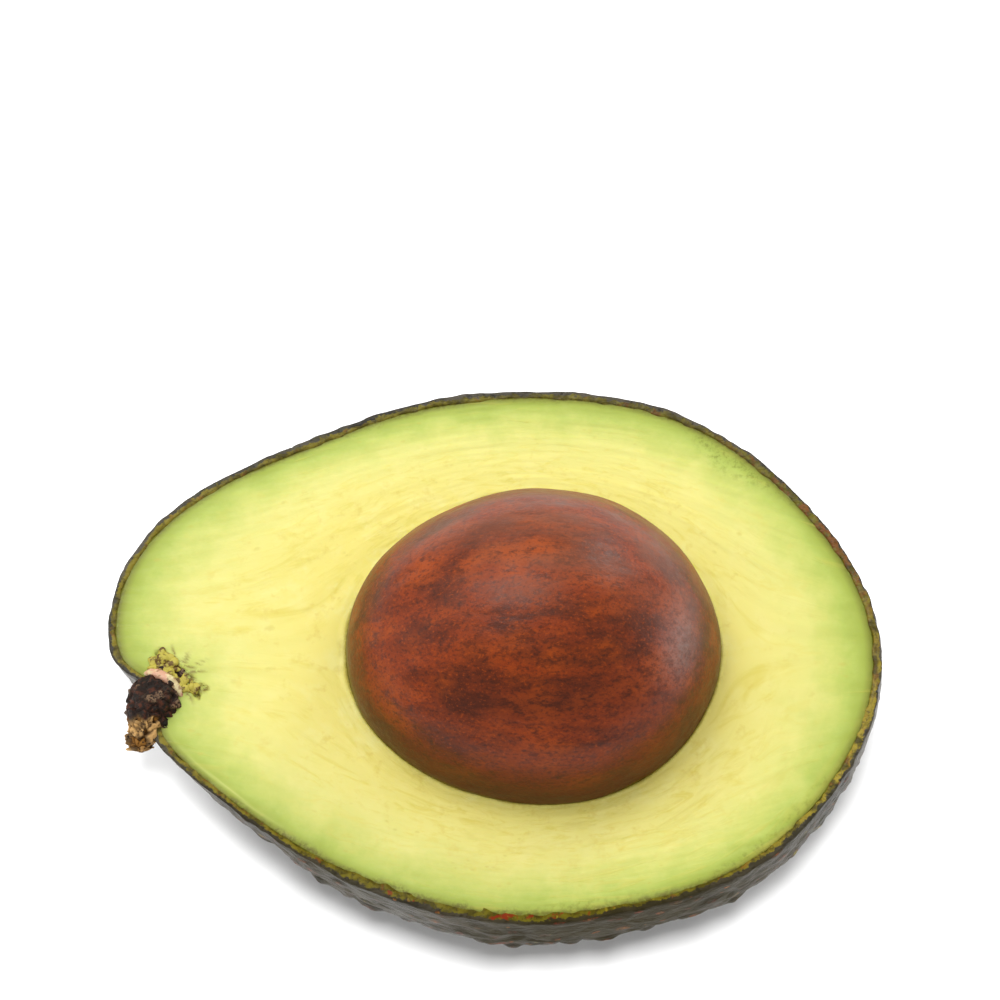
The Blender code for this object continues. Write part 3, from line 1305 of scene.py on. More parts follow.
@dataclass
class Skin(Piece):
    """The leathery skin: a thin closed bowl with a rippled, warty outside and a cut rim."""

    form: FruitForm
    thickness: float = 1.0 * MM
    steps: int = 276
    inner_steps: int = 92
    inner_drop: float = 0.7 * MM
    bend: float = 1.2 * MM  # how far the waves and ripples are bent out of line
    wave: float = 7.0 * MM
    wave_height: float = 0.34 * MM
    ripple: float = 2.2 * MM
    ripple_height: float = 0.30 * MM
    pebble: float = 1.1 * MM
    pebble_height: float = 0.05 * MM
    flat_spot: tuple[float, float] = (0.2 * MM, 2.5 * MM)
    calm_rim: tuple[float, float] = (0.5 * MM, 9.0 * MM)
    few_warts: tuple[float, float] = (4.0 * MM, 17.0 * MM)
    wart_count: int = 520
    wart_seed: int = 41
    wart_radii: tuple[float, ...] = (0.55 * MM, 0.80 * MM, 1.10 * MM)
    wart_odds: tuple[float, ...] = (0.45, 0.37, 0.18)
    wart_variation: tuple[float, float] = (0.85, 1.2)
    wart_rise: tuple[float, float] = (0.32, 0.62)
    wart_length: tuple[float, float] = (1.1, 1.9)
    wart_clearance: tuple[float, float] = (1.9 * MM, 4.8 * MM)
    rim_steps: tuple[tuple[float, float], ...] = (
        (0.08, 0.04), (0.22, 0.07), (0.45, 0.07), (0.72, 0.05), (1.02, 0.02), (1.16, -0.30),
    )  # share of the thickness, and rise in mm  # fmt: skip
    rim_roughness: float = 0.24
    wide_rim: Sector = Sector(-97.0, 24.0, 0.4)
    deep_cut: Sector = Sector(8.0, 38.0, 0.26)
    dark_cut: Sector = Sector(-48.0, 22.0, -0.3)
    narrow_cut: Sector = Sector(115.0, 55.0, -0.2)
    ochre: tuple[Sector, ...] = (Sector(-18.0, 24.0), Sector(180.0, 60.0, 0.4))
    ruddy: Sector = Sector(24.0, 18.0)
    specked: Sector = Sector(-97.0, 30.0, 0.75)
    # where the strip under the rim gets painted shade and less shine: the -Y side and the lower left
    dull_shaded_strip: tuple[Sector, ...] = (Sector(-72.0, 44.0), Sector(-135.0, 34.0, 0.65))
    dull_strip_depth: tuple[float, float] = (20.0 * MM, 9.0 * MM)

    def warts(self, points: np.ndarray) -> tuple[np.ndarray, ...]:
        """Warts scattered evenly at random over the outside.

        Each wart is a rounded bump exp(-d^3) with a small pit on top, where d is the distance
        from its middle over its radius, with distances along the fruit shrunk so that it is
        longer than it is wide.

        Args:
            points: The outside's places as rows.

        Returns:
            The height, the share of coloured tip, the tip's hue from 0 to 1, and the share of
            the painted shade ring round the wart's base, each for every point.
        """
        rng = np.random.default_rng(self.wart_seed)
        height, tip, hue, shade_ring = (np.zeros(len(points)) for _ in range(4))
        for middle in self.scattered(rng, points):
            radius = rng.choice(self.wart_radii, p=self.wart_odds) * rng.uniform(*self.wart_variation)
            rise = radius * rng.uniform(*self.wart_rise)
            away = points - points[middle]
            away[:, 0] /= rng.uniform(*self.wart_length)
            shade = rng.uniform()
            near = np.einsum("ij,ij->i", away, away) / radius**2
            bump = np.exp(-(near**1.5)) - 0.25 * np.exp(-(near / 0.1))
            height = np.maximum(height, rise * bump)
            # painted shade: a dark ring round the wart's base, where its shade falls
            shade_ring = np.maximum(shade_ring, 0.4 * bell(np.sqrt(near) - 1.1, 0.40))
            coloured = smooth_step(near, 0.42, 0.10) * rng.uniform(0.2, 1.0)
            hue = np.where(coloured > tip, shade, hue)
            tip = np.maximum(tip, coloured)
        return height, tip, hue, shade_ring

    def scattered(self, rng: np.random.Generator, points: np.ndarray) -> list[int]:
        """Indices of points that keep a distance from one another.

        Args:
            rng: The source of random numbers.
            points: The places to choose from, as rows.

        Returns:
            Up to wart_count indices. A candidate nearer than its own clear distance to one
            already taken is passed over.
        """
        taken: list[int] = []
        for candidate in rng.permutation(len(points))[: self.wart_count * 8]:
            clear = rng.uniform(*self.wart_clearance)
            if taken and np.min(np.linalg.norm(points[taken] - points[candidate], axis=1)) < clear:
                continue
            taken.append(int(candidate))
            if len(taken) == self.wart_count:
                break
        return taken

    def outside(self) -> tuple[np.ndarray, Marks]:
        """The outer surface with its relief.

        The relief is the sum of long soft waves, ripples, small pebbles and the warts, and
        calms down towards the rim. It fades out on the flat spot, so that the half still rests
        on its plane. The ripples' hollows and a ring round each wart's base get painted shade.

        Returns:
            The places as a square grid, and the marks tip, hue and groove of its points.
        """
        base = self.form.bowl(self.steps)
        normals = -grid_normals(base).reshape(-1, 3)
        points = base.reshape(-1, 3)
        bend = np.stack([value_noise(points, 6.0 * MM, seed) for seed in (5, 6, 7)], axis=1)
        stretched = points * np.array([0.5, 1.0, 1.0]) + self.bend * bend
        waves = fractal(stretched, self.wave, 2, 11)
        ripples = fractal(stretched, self.ripple, 2, 12)
        pebbles = fractal(stretched, self.pebble, 2, 13)
        wart, tip, hue, shade_ring = self.warts(points)
        below = self.form.face_height - points[:, 2]
        relief = self.wave_height * waves + self.ripple_height * (ripples - 0.2)
        relief *= 0.4 + 0.6 * smooth_step(below, *self.calm_rim)
        wart *= 0.3 + 0.7 * smooth_step(below, *self.few_warts)
        relief += self.pebble_height * pebbles + wart
        relief *= smooth_step(points[:, 2], *self.flat_spot)
        moved = points + normals * relief[:, None]
        moved[:, 2] = np.clip(moved[:, 2], 0.0, self.form.face_height)
        moved[Disc(self.steps).border(), 2] = self.form.face_height
        # painted shade in the ripples' hollows and round the warts
        speck_and_hollow_shade = np.maximum(0.7 * smooth_step(ripples, -0.1, -0.8), shade_ring)
        return moved.reshape(base.shape), {"tip": tip, "hue": hue, "speck_and_hollow_shade": speck_and_hollow_shade}

    def cut_rim(self, rim: np.ndarray) -> tuple[list[np.ndarray], list[np.ndarray]]:
        """The knife's cut through the skin.

        Args:
            rim: The outer surface's last ring as rows.

        Returns:
            Rings from there to just below the flesh's edge, and how far across the cut each of
            their points counts for its colour.
        """
        count = len(rim)
        angle = ring_angles(count)
        plain = self.form.rim(count)
        inwards = self.form.rim(count, self.thickness) - plain
        ragged = 1.0 + self.rim_roughness * fractal(plain, 1.8 * MM, 2, 22)
        wide = self.wide_rim.at(angle) * (1.0 + 0.9 * value_noise(plain, 1.6 * MM, 23))
        shift = self.deep_cut.at(angle) + self.dark_cut.at(angle)
        loops, cut = [], []
        for share, rise in self.rim_steps:
            ring = plain + inwards * (share * (ragged + wide * share))[:, None]
            ring += (rim - plain) * (1.0 - min(1.0, share))
            wobble = value_noise(ring, 1.3 * MM, 21) * 0.05 * MM
            ring[:, 2] = self.form.face_height + rise * MM + wobble
            loops.append(ring)
            cut.append(share * (1.0 + self.narrow_cut.at(angle)) + shift)
        return loops, cut

    def build(self) -> bpy.types.Object:
        """Make the skin.

        Returns:
            The piece, standing for CAD node skin.
        """
        outer, marks = self.outside()
        loops, cut = self.cut_rim(outer.reshape(-1, 3)[Disc(self.steps).border()])
        inner = self.form.bowl(self.inner_steps, self.thickness)
        inner[..., 2] = np.minimum(inner[..., 2], self.form.face_height - self.inner_drop)
        vertices, faces = closed_shell(outer, loops, inner)
        before, inside = outer.shape[0] ** 2, inner.shape[0] ** 2
        rest = len(vertices) - before
        marks = {label: np.append(values, np.zeros(rest)) for label, values in marks.items()}
        marks["cut"] = np.concatenate([np.zeros(before), *cut, np.ones(inside)])
        angle = np.arctan2(vertices[:, 1], vertices[:, 0])
        marks["ochre"] = sum(patch.at(angle) for patch in self.ochre)
        marks["ruddy"] = self.ruddy.at(angle)
        marks["specked"] = 0.25 + self.specked.at(angle)
        below = self.form.face_height - vertices[:, 2]
        # painted shade and less shine on the strip just under the rim
        dull_shaded_strip = np.maximum(*(patch.at(angle) for patch in self.dull_shaded_strip))
        marks["dull_shaded_strip"] = dull_shaded_strip * smooth_step(below, *self.dull_strip_depth)
        obj = load_mesh("skin_shell", vertices, faces, marks)
        return self.settle(obj, Slot.SKIN, SkinFinish().material(), "skin")


@dataclass(frozen=True)
class Crack:
    """A short crack in the face that runs out from the stem's root."""

    direction: float  # degrees
    start: float  # millimetres
    length: float
    half_width: float


@dataclass
class Flesh(Piece):
    """The flesh: a solid under a knife-cut face, with the seed's hollow in it."""

    form: FruitForm
    seed: SeedForm
    inset: float = 0.95 * MM
    clearance: float = -0.15 * MM
    lip: float = 0.25 * MM
    lip_swell: float = 0.12 * MM
    wave: float = 9.0 * MM
    wave_height: float = 0.10 * MM
    strand: float = 0.9 * MM
    strand_height: float = 0.035 * MM
    edge_drop: float = 0.06 * MM
    block: float = 0.9 * MM
    block_height: float = 0.6 * MM
    crack_depth: float = 0.3 * MM
    ring_points: int = 720
    face_rings: int = 92
    coarse_steps: int = 60
    bowl_drop: float = 0.4 * MM
    wall_drop: float = 1.2 * MM
    hollow_drop: float = 1.8 * MM
    deep: float = 15.0 * MM
    line_inset: float = 0.95 * MM
    line_width: float = 0.16 * MM
    line_height: float = 0.07 * MM
    line_place: Sector = Sector(-152.0, 9.0, 0.6)
    stain_width: float = 0.26 * MM
    stain_places: tuple[Sector, ...] = (Sector(-105.0, 50.0, 1.6), Sector(5.0, 45.0, -0.5))
    hue_places: tuple[Sector, ...] = (
        Sector(176.0, 26.0, -0.32),
        Sector(0.0, 34.0, -0.26),
        Sector(132.0, 20.0, 0.22),
    )  # where the green band is wider, and where it is narrower
    bruises: tuple[Sector, ...] = (
        Sector(43.0, 8.0, 2.6),
        Sector(-35.0, 14.0, 1.0),
        Sector(-75.0, 16.0, 0.9),
    )
    arc_places: tuple[Sector, ...] = (Sector(-52.0, 34.0), Sector(-100.0, 30.0, 0.5))
    tear_middle: tuple[float, float] = (-42.3 * MM, -2.9 * MM)
    tear_angle: float = -42.0
    tear_stretch: tuple[float, float] = (3.6, 1.5)
    cracks: tuple[Crack, ...] = (
        Crack(-62.0, 1.8, 3.6, 0.22),
        Crack(-34.0, 2.2, 3.2, 0.16),
        Crack(4.0, 0.8, 3.8, 0.20),
        Crack(27.0, 0.8, 4.2, 0.16),
        Crack(64.0, 0.8, 3.2, 0.20),
        Crack(104.0, 1.6, 2.8, 0.18),
    )

    def face(self) -> tuple[list[np.ndarray], Marks]:
        """The cut face as rings from the skin to the seed's hollow.

        A ring at share t joins, point by point, the outline at t = 0 and the hollow's edge at
        t = 1. The face bends down at the hollow as a quarter circle does, and a little at the
        skin.

        Returns:
            The rings, and the marks of all their points.
        """
        count = self.ring_points
        outer = self.form.rim(count, self.inset)
        edge = self.seed.ring(count, self.clearance, self.form.face_height)
        shares = np.linspace(0.0, 1.0, self.face_rings)[:, None, None]
        grid = outer[None] * (1.0 - shares) + edge[None] * shares
        flat = grid.reshape(-1, 3)
        from_skin = self.distance_to(grid, outer)
        from_seed = self.distance_to(grid, edge)
        angle = np.arctan2(flat[:, 1], flat[:, 0])
        flow = self.flow(flat)
        torn = self.tear(flat)
        wander = 0.2 * MM * value_noise(flat, 4.0 * MM, 36)
        line = bell(from_skin - self.line_inset + wander, self.line_width) * self.line_place.at(angle)
        wide = self.stain_width * (1.0 + sum(place.at(angle) for place in self.stain_places))
        wide *= 1.0 + 0.7 * value_noise(flat, 2.0 * MM, 38)
        hue = 1.0 + sum(place.at(angle) for place in self.hue_places)
        relief = self.relief(flat, flow, from_skin, from_seed) + self.crumble(flat, torn)
        marks = {
            "edge": from_skin * hue,
            "flow": flow,
            "rings": self.rings(from_skin, from_seed, angle),
            "arcs": self.arcs(angle, from_seed),
            "line": line,
            "stain": bell(from_skin, wide),
        }
        flat[:, 2] += relief + self.line_height * line
        marks["bruise"] = self.bruise(from_skin, angle, flat)
        marks["hollow"] = np.exp(-from_seed / (0.30 * MM))
        marks["torn"] = np.maximum(torn, self.rays(flat))
        return list(flat.reshape(grid.shape)), marks

    def relief(
        self, points: np.ndarray, flow: np.ndarray, from_skin: np.ndarray, from_seed: np.ndarray
    ) -> np.ndarray:
        """The face's height: long waves, fine strands along the flow, and the rounded lip.

        Args:
            points: Places as rows.
            flow: Coordinates along and across the fibres.
            from_skin: The distance from the skin at each point.
            from_seed: The distance from the seed's hollow.

        Returns:
            The height over the level face. By the hollow it falls as a quarter circle of the
            lip's radius, behind a slight swell.
        """
        waves = value_noise(points, self.wave, 31) * self.wave_height
        strands = fractal(flow * np.array([0.10, 1.0, 1.0]), self.strand, 2, 32) * self.strand_height
        lip = self.lip * (1.0 + 0.5 * value_noise(points, 3.5 * MM, 33))
        near = np.clip(from_seed / lip, 0.0, 1.0)
        drop = lip * (1.0 - np.sqrt(np.clip(1.0 - (1.0 - near) ** 2, 0.0, 1.0)))
        swell = self.lip_swell * bell(from_seed - 1.8 * lip, lip)
        edge = self.edge_drop * np.exp(-from_skin / (0.2 * MM))
        return waves + strands + swell - drop - edge

    def crumble(self, points: np.ndarray, torn: np.ndarray) -> np.ndarray:
        """The height of the torn flesh: blocks of uneven height with cracks between them.

        Args:
            points: Places as rows.
            torn: How torn the flesh is at each point, from 0 to 1.

        Returns:
            The height that is added to the face's relief.
        """
        border, number = cells(points, self.block, 35)
        crack = 1.0 - smooth_step(border, 0.0, 0.3)
        return torn * (self.block_height * (number - 0.6) - self.crack_depth * crack)

    def bruise(self, from_skin: np.ndarray, angle: np.ndarray, points: np.ndarray) -> np.ndarray:
        """Where the flesh by the skin is speckled dark: a band that widens in a few sectors.

        Args:
            from_skin: The distance from the skin at each point.
            angle: The angle about the upright axis.
            points: Places as rows.

        Returns:
            A share from 0 to 1 for each point.
        """
        width = 0.7 + sum(place.at(angle) for place in self.bruises)
        width += 0.35 * value_noise(points, 3.0 * MM, 37)
        return bell(from_skin, width * MM)

    def turned(self, points: np.ndarray, degrees: float) -> tuple[np.ndarray, np.ndarray]:
        """Places beside the stem's root in turned coordinates.

        Args:
            points: Places as rows.
            degrees: The direction that counts as along.

        Returns:
            How far each lies along that direction from the root, and how far across it.
        """
        away = points[:, :2] - np.array(self.tear_middle)
        turn = math.radians(degrees)
        along = away[:, 0] * math.cos(turn) + away[:, 1] * math.sin(turn)
        return along, away[:, 1] * math.cos(turn) - away[:, 0] * math.sin(turn)

    def tear(self, points: np.ndarray) -> np.ndarray:
        """Where the flesh is torn beside the stem: a ragged oval along the collar.

        Args:
            points: Places as rows.

        Returns:
            A share from 0 to 1 for each point.
        """
        along, across = self.turned(points, self.tear_angle)
        reach = np.hypot(along / self.tear_stretch[0], across / self.tear_stretch[1])
        return smooth_step(reach + 0.5 * MM * fractal(points, 1.2 * MM, 3, 34), 1.15 * MM, 0.7 * MM)

    def rays(self, points: np.ndarray) -> np.ndarray:
        """The cracks that run out from the stem's root, from 0 to 1.

        Args:
            points: Places as rows.

        Returns:
            For each point the largest of exp(-(d/w)^2) over the cracks, d being the distance
            from a crack's wavy line, times a fade towards the crack's end.
        """
        bend = 0.35 * MM * value_noise(points, 1.3 * MM, 39)
        total = np.zeros(len(points))
        for crack in self.cracks:
            along, across = self.turned(points, crack.direction)
            along -= crack.start * MM
            fade = smooth_step(along, crack.length * MM, 0.3 * crack.length * MM)
            fade *= smooth_step(along, -0.4 * MM, 0.0)
            total = np.maximum(total, fade * bell(across + bend, crack.half_width * MM))
        return total

    def rings(self, from_skin: np.ndarray, from_seed: np.ndarray, angle: np.ndarray) -> np.ndarray:
        """Coordinates round and across the ring of flesh between the skin and the seed.

        Args:
            from_skin: The distance from the skin at each point.
            from_seed: The distance from the seed's hollow.
            angle: The angle about the upright axis.

        Returns:
            Rows of the arc length at a radius of 34 mm, the share of the way from the skin to
            the seed times 16 mm, and 0.
        """
        share = from_skin / np.maximum(from_skin + from_seed, 1e-6)
        return np.stack([angle * 34.0 * MM, share * 16.0 * MM, np.zeros(len(angle))], axis=1)

    def arcs(self, angle: np.ndarray, from_seed: np.ndarray) -> np.ndarray:
        """Where fibres run round the seed: mostly at the blossom end and on the -Y side."""
        side = np.clip(sum(place.at(angle) for place in self.arc_places), 0.0, 1.0)
        return side * smooth_step(from_seed, 1.0 * MM, 3.0 * MM)

    def distance_to(self, grid: np.ndarray, curve: np.ndarray) -> np.ndarray:
        """How far each point of the face is from a curve round it.

        Args:
            grid: Rings of places that keep the curve's order of angles.
            curve: The curve's places as rows.

        Returns:
            The distance to the nearest of the curve's points within a sixth of a turn.
        """
        nearest = np.full(grid.shape[:2], np.inf)
        reach = len(curve) // 6
        for shift in range(-reach, reach + 1, 2):
            gap = np.linalg.norm(grid[:, :, :2] - np.roll(curve, shift, axis=0)[None, :, :2], axis=2)
            nearest = np.minimum(nearest, gap)
        return nearest.ravel()

    def flow(self, points: np.ndarray) -> np.ndarray:
        """Coordinates along and across the fibres, which part at the seed as a stream would.

        With X and Y from the seed's middle in its half sizes and R^2 = X^2 + Y^2, the distance
        along is X (1 + 1/R^2) and the one across Y (1 - 1/R^2), each times its half size.

        Args:
            points: Places as rows.

        Returns:
            Rows of the distance along, the one across, and 0, in metres.
        """
        x = (points[:, 0] - self.seed.centre[0]) / self.seed.half_length
        y = (points[:, 1] - self.seed.centre[1]) / self.seed.half_width
        square = np.maximum(x * x + y * y, 0.6)
        along = x * (1.0 + 1.0 / square) * self.seed.half_length
        across = y * (1.0 - 1.0 / square) * self.seed.half_width
        return np.stack([along, across, np.zeros(len(points))], axis=1)

    def build(self) -> bpy.types.Object:
        """Make the flesh.

        Returns:
            The piece, standing for CAD node flesh.
        """
        level = self.form.face_height
        outer = self.form.bowl(self.coarse_steps, self.inset)
        outer[..., 2] = np.minimum(outer[..., 2], level - self.bowl_drop)
        loops, marks = self.face()
        wall = self.seed.ring(self.ring_points, self.clearance, level - self.wall_drop)
        hollow = self.seed.dome(self.coarse_steps, self.clearance, -1.0)
        hollow[..., 2] = np.minimum(hollow[..., 2], level - self.hollow_drop)
        vertices, faces = closed_shell(outer, [*loops, wall], hollow)
        before = outer.shape[0] ** 2
        after = len(vertices) - before - len(marks["edge"])
        for label, values in marks.items():
            sides = [(before, after)] + [(0, 0)] * (values.ndim - 1)
            marks[label] = np.pad(values, sides)
        marks["edge"][-after:] = self.deep
        obj = load_mesh("flesh_body", vertices, faces, marks)
        return self.settle(obj, Slot.FLESH, FleshFinish().material(), "flesh")


@dataclass
class Seed(Piece):
    """The seed: a smooth egg with slight furrows along it."""

    form: SeedForm
    face_height: float
    steps: int = 180
    wave: float = 9.0 * MM
    wave_height: float = 0.16 * MM
    furrow: float = 3.0 * MM
    furrow_depth: float = 0.07 * MM
    grain: float = 0.7 * MM
    grain_height: float = 0.012 * MM
    husk_and_reflection_reach: float = 4.2 * MM
    husk_and_reflection_lean: float = 1.6 * MM
    # how high the painted shade belt reaches above the face
    foot_height: float = 11.0 * MM
    # where the painted highlight lies, in shares of the seed's half sizes
    highlight_middle: tuple[float, float, float] = (0.76, -0.10, 0.60)
    highlight_width: float = 0.15

    def relieved(self, dome: np.ndarray) -> np.ndarray:
        """A dome of the seed with its relief.

        The relief is a slow waviness, shallow furrows that run along X and a fine graininess,
        all pushed out from the seed's centre.

        Args:
            dome: The plain dome as a square grid.

        Returns:
            The relieved dome.
        """
        points = dome.reshape(-1, 3)
        slow = value_noise(points, self.wave, 51) * self.wave_height
        stretched = points * np.array([0.22, 1.0, 1.0])
        furrows = fractal(stretched, self.furrow, 2, 52) * self.furrow_depth
        grain = value_noise(points, self.grain, 53) * self.grain_height
        out = unit(points - self.form.centre)
        return (points + out * (slow + furrows + grain)[:, None]).reshape(dome.shape)

    def marks(self, vertices: np.ndarray) -> Marks:
        """Where each tint of the coat lies.

        Args:
            vertices: The seed's places as rows.

        Returns:
            The marks: seated where the flesh left its olive coat, on which painted green light
            thrown back by the flesh also shows, crown where the coat has dust and a painted
            sheen, foot for a belt of painted shade above the face, bloom for a painted
            highlight, and shade for a dark smile-shaped streak and a dark flank.
        """
        height = vertices[:, 2] - self.face_height
        along = (vertices[:, 0] - self.form.centre[0]) / self.form.half_length
        away = (vertices[:, 1] - self.form.centre[1]) / self.form.half_width
        up = (vertices[:, 2] - self.form.centre[2]) / self.form.half_width
        # the olive band's height: coat left by the flesh and painted light reflected from it, lower on
        # the -Y side
        reach = self.husk_and_reflection_reach - self.husk_and_reflection_lean * along
        reach *= 1.0 - 0.75 * smooth_step(away, -0.05, -0.6)
        # dust and painted sheen on the upper +Y side, plus a painted sheen round the apex
        crown = 0.75 * smooth_step(away + 0.35 * along, -0.1, 0.8)
        crown *= smooth_step(height, 2.0 * MM, 8.0 * MM)
        crown += 0.40 * bell(along + 0.02, 0.38) * bell(away - 0.08, 0.26)
        smile = away + 0.64 - 0.55 * (along + 0.02) ** 2
        streak = 0.90 * bell(smile, 0.085) * np.exp(-(((along + 0.02) / 0.42) ** 4))
        flank = 0.50 * bell(along - 0.50, 0.32) * bell(away + 0.42, 0.30)
        # top of the painted shade belt, higher on the -Y side
        belt = self.foot_height + 2.0 * MM * smooth_step(away, 0.0, -0.8)
        # the painted highlight's place
        spot = np.stack([along, 0.6 * away, up], axis=1) - np.array(self.highlight_middle)
        return {
            "seated": np.clip(1.0 - height / reach, 0.0, 1.0),
            "crown": crown,
            "foot": smooth_step(height, belt, 1.5 * MM),
            "highlight_spot": 0.5 * bell(np.linalg.norm(spot, axis=1), self.highlight_width),
            "shade": streak + flank,
        }

    def build(self) -> bpy.types.Object:
        """Make the seed.

        Returns:
            The piece, standing for CAD node seed.
        """
        lower, upper = (self.relieved(self.form.dome(self.steps, 0.0, top)) for top in (-1.0, 1.0))
        vertices, faces = two_domes(lower, upper)
        obj = load_mesh("seed_body", vertices, faces, self.marks(vertices))
        return self.settle(obj, Slot.SEED, SeedFinish().material(), "seed")


@dataclass
class Stem(Piece):
    """The stub of the stem with its pale collar and the torn bits round its root."""

    face_height: float
    line: tuple[tuple[float, float, float, float], ...] = (
        (-41.0, -1.6, -3.6, 1.9),
        (-42.9, -3.2, -2.8, 2.8),
        (-44.3, -4.9, -1.9, 3.3),
        (-45.3, -6.8, -1.4, 3.5),
        (-45.6, -8.5, -1.4, 3.1),
        (-46.3, -10.1, -1.4, 2.3),
        (-46.7, -11.6, -1.6, 1.9),
        (-46.7, -12.9, -1.9, 1.3),
    )  # x, y, height over the face and radius in mm
    sides: int = 96
    rings: int = 110
    end_shares: tuple[float, float] = (0.04, 0.06)
    broken_from: float = 0.63
    lump_height: float = 0.22 * MM
    ridge_height: float = 0.30 * MM
    block_size: float = 1.25 * MM
    block_height: float = 0.75 * MM
    block_crack: float = 0.30 * MM
    chip_size: float = 1.15 * MM
    chip_height: float = 1.2 * MM
    chip_crack: float = 0.35 * MM
    collar_rings: int = 14
    collar_shares: tuple[float, float] = (0.235, 0.300)
    collar_swell: float = 0.34 * MM
    collar_lumps: float = 0.14 * MM
    collar_sink: float = 0.1 * MM
    root: tuple[float, float, float] = (-43.4 * MM, -4.1 * MM, 0.05 * MM)
    collar_angle: float = math.radians(-42.0)
    bit_count: int = 34
    bit_steps: int = 8
    bit_seed: int = 81
    bit_sizes: tuple[float, float] = (0.34, 0.95)
    bit_along: tuple[float, float] = (-3.4, 3.6)
    bit_inwards: tuple[float, float] = (0.2, 2.3)
    bit_lumps: float = 0.26 * MM

    def knots(self) -> np.ndarray:
        """The stem's line as rows of x, y, z and radius in the frame."""
        return np.array(self.line) * MM + np.array([0.0, 0.0, self.face_height, 0.0])

    def along(self, shares: np.ndarray) -> tuple[np.ndarray, np.ndarray, np.ndarray]:
        """Middle points, directions and radii along the stem, by Catmull-Rom curves.

        Between knots p1 and p2 the curve is half of 2 p1 + (p2 - p0) t + (2 p0 - 5 p1 + 4 p2 -
        p3) t^2 + (3 p1 - p0 - 3 p2 + p3) t^3.

        Args:
            shares: Shares of the way from the root to the end, from 0 to 1.

        Returns:
            The points, the unit directions and the radii.
        """
        knots = self.knots()
        padded = np.vstack([2 * knots[0] - knots[1], knots, 2 * knots[-1] - knots[-2]])
        place = np.clip(shares, 0.0, 1.0) * (len(knots) - 1)
        start = np.minimum(place.astype(int), len(knots) - 2)
        t = (place - start)[:, None]
        p0, p1, p2, p3 = (padded[start + k] for k in range(4))
        square, cube = 2 * p0 - 5 * p1 + 4 * p2 - p3, 3 * p1 - p0 - 3 * p2 + p3
        rows = 0.5 * (2 * p1 + (p2 - p0) * t + square * t**2 + cube * t**3)
        return rows[:, :3], unit(np.gradient(rows[:, :3], axis=0)), rows[:, 3]

    def tube(self, shares: np.ndarray, growth: np.ndarray) -> tuple[np.ndarray, np.ndarray]:
        """Rings round the stem's line.

        Args:
            shares: Where each ring stands, from 0 to 1.
            growth: How much wider than the line's radius each ring is.

        Returns:
            The places as rows, ring by ring, and the unit directions outwards.
        """
        middle, direction, radius = self.along(shares)
        across = unit(np.cross(direction, np.array([0.0, 0.0, 1.0])))[:, None, :]
        up = np.cross(across, direction[:, None, :])
        angle = ring_angles(self.sides)[None, :, None]
        out = np.cos(angle) * across + np.sin(angle) * up
        rings = middle[:, None, :] + out * (radius + growth)[:, None, None]
        return rings.reshape(-1, 3), out.reshape(-1, 3)

    def tube_faces(self, rings: int) -> list[list[int]]:
        """Faces of a closed tube.

        Args:
            rings: How many rings it has. Two points follow them, the middles of its ends.

        Returns:
            Quads between the rings, and a fan of triangles at either end.
        """
        index = np.arange(rings * self.sides).reshape(rings, self.sides)
        faces: list[list[int]] = []
        for one, other in zip(index, index[1:]):
            faces += stitched(other, one)
        head, tail = index.size, index.size + 1
        first, last = index[0], index[-1]
        faces += [[head, int(a), int(b)] for a, b in zip(first, np.roll(first, -1))]
        faces += [[tail, int(b), int(a)] for a, b in zip(last, np.roll(last, -1))]
        return faces

    def bark(self) -> bpy.types.Object:
        """Make the stub: a rough tube that narrows to its crumbly broken end.

        Its relief is lumps, a ridge where the bark stops, blocks of bark before the ridge and
        smaller chips of wood behind it, both parted by cracks.

        Returns:
            The piece, standing for CAD node stem.
        """
        shares = np.linspace(0.0, 1.0, self.rings)
        head, tail = self.end_shares
        closing = np.minimum(1.0, np.minimum(shares / head, (1.0 - shares) / tail))
        radius = self.along(shares)[2]
        rounding = radius * (np.sqrt(np.clip(1.0 - (1.0 - closing) ** 2, 0.04, 1.0)) - 1.0)
        flat, out = self.tube(shares, rounding)
        border = np.repeat(shares, self.sides) + 0.07 * value_noise(flat, 1.6 * MM, 61)
        broken = smooth_step(border, self.broken_from, self.broken_from + 0.05)
        edge, number = cells(flat, self.block_size, 62)
        twist = np.stack([fractal(flat, 0.8 * MM, 2, seed) for seed in (65, 67, 69)], 1)
        chip_edge, chip_number = cells(flat + 0.45 * MM * twist, self.chip_size, 64)
        crack = 1.0 - smooth_step(edge, 0.0, 0.22)
        chip_crack = 1.0 - smooth_step(chip_edge, 0.0, 0.25)
        lumps = self.lump_height * fractal(flat, 1.5 * MM, 3, 63)
        ridge = self.ridge_height * bell(border - self.broken_from + 0.02, 0.03)
        blocks = self.block_height * (number - 0.5) - self.block_crack * crack
        chips = self.chip_height * (chip_number - 0.6) - self.chip_crack * chip_crack
        relief = lumps + ridge + blocks * (1.0 - broken) + chips * broken
        flat = flat + out * relief[:, None]
        ends = np.array([flat[: self.sides].mean(0), flat[-self.sides :].mean(0)])
        chunk = number * (1.0 - broken) + chip_number * broken
        cracks = 0.8 * (crack * (1.0 - broken) + chip_crack * broken)
        marks = {
            "broken": np.append(broken, [0.0, 1.0]),
            "chunk": np.append(chunk, [0.5, 0.5]),
            "crack": np.append(cracks, [0.0, 0.0]),
        }
        obj = load_mesh("stem_stub", np.vstack([flat, ends]), self.tube_faces(self.rings), marks)
        return self.settle(obj, Slot.STEM, BarkFinish().material(), "stem")

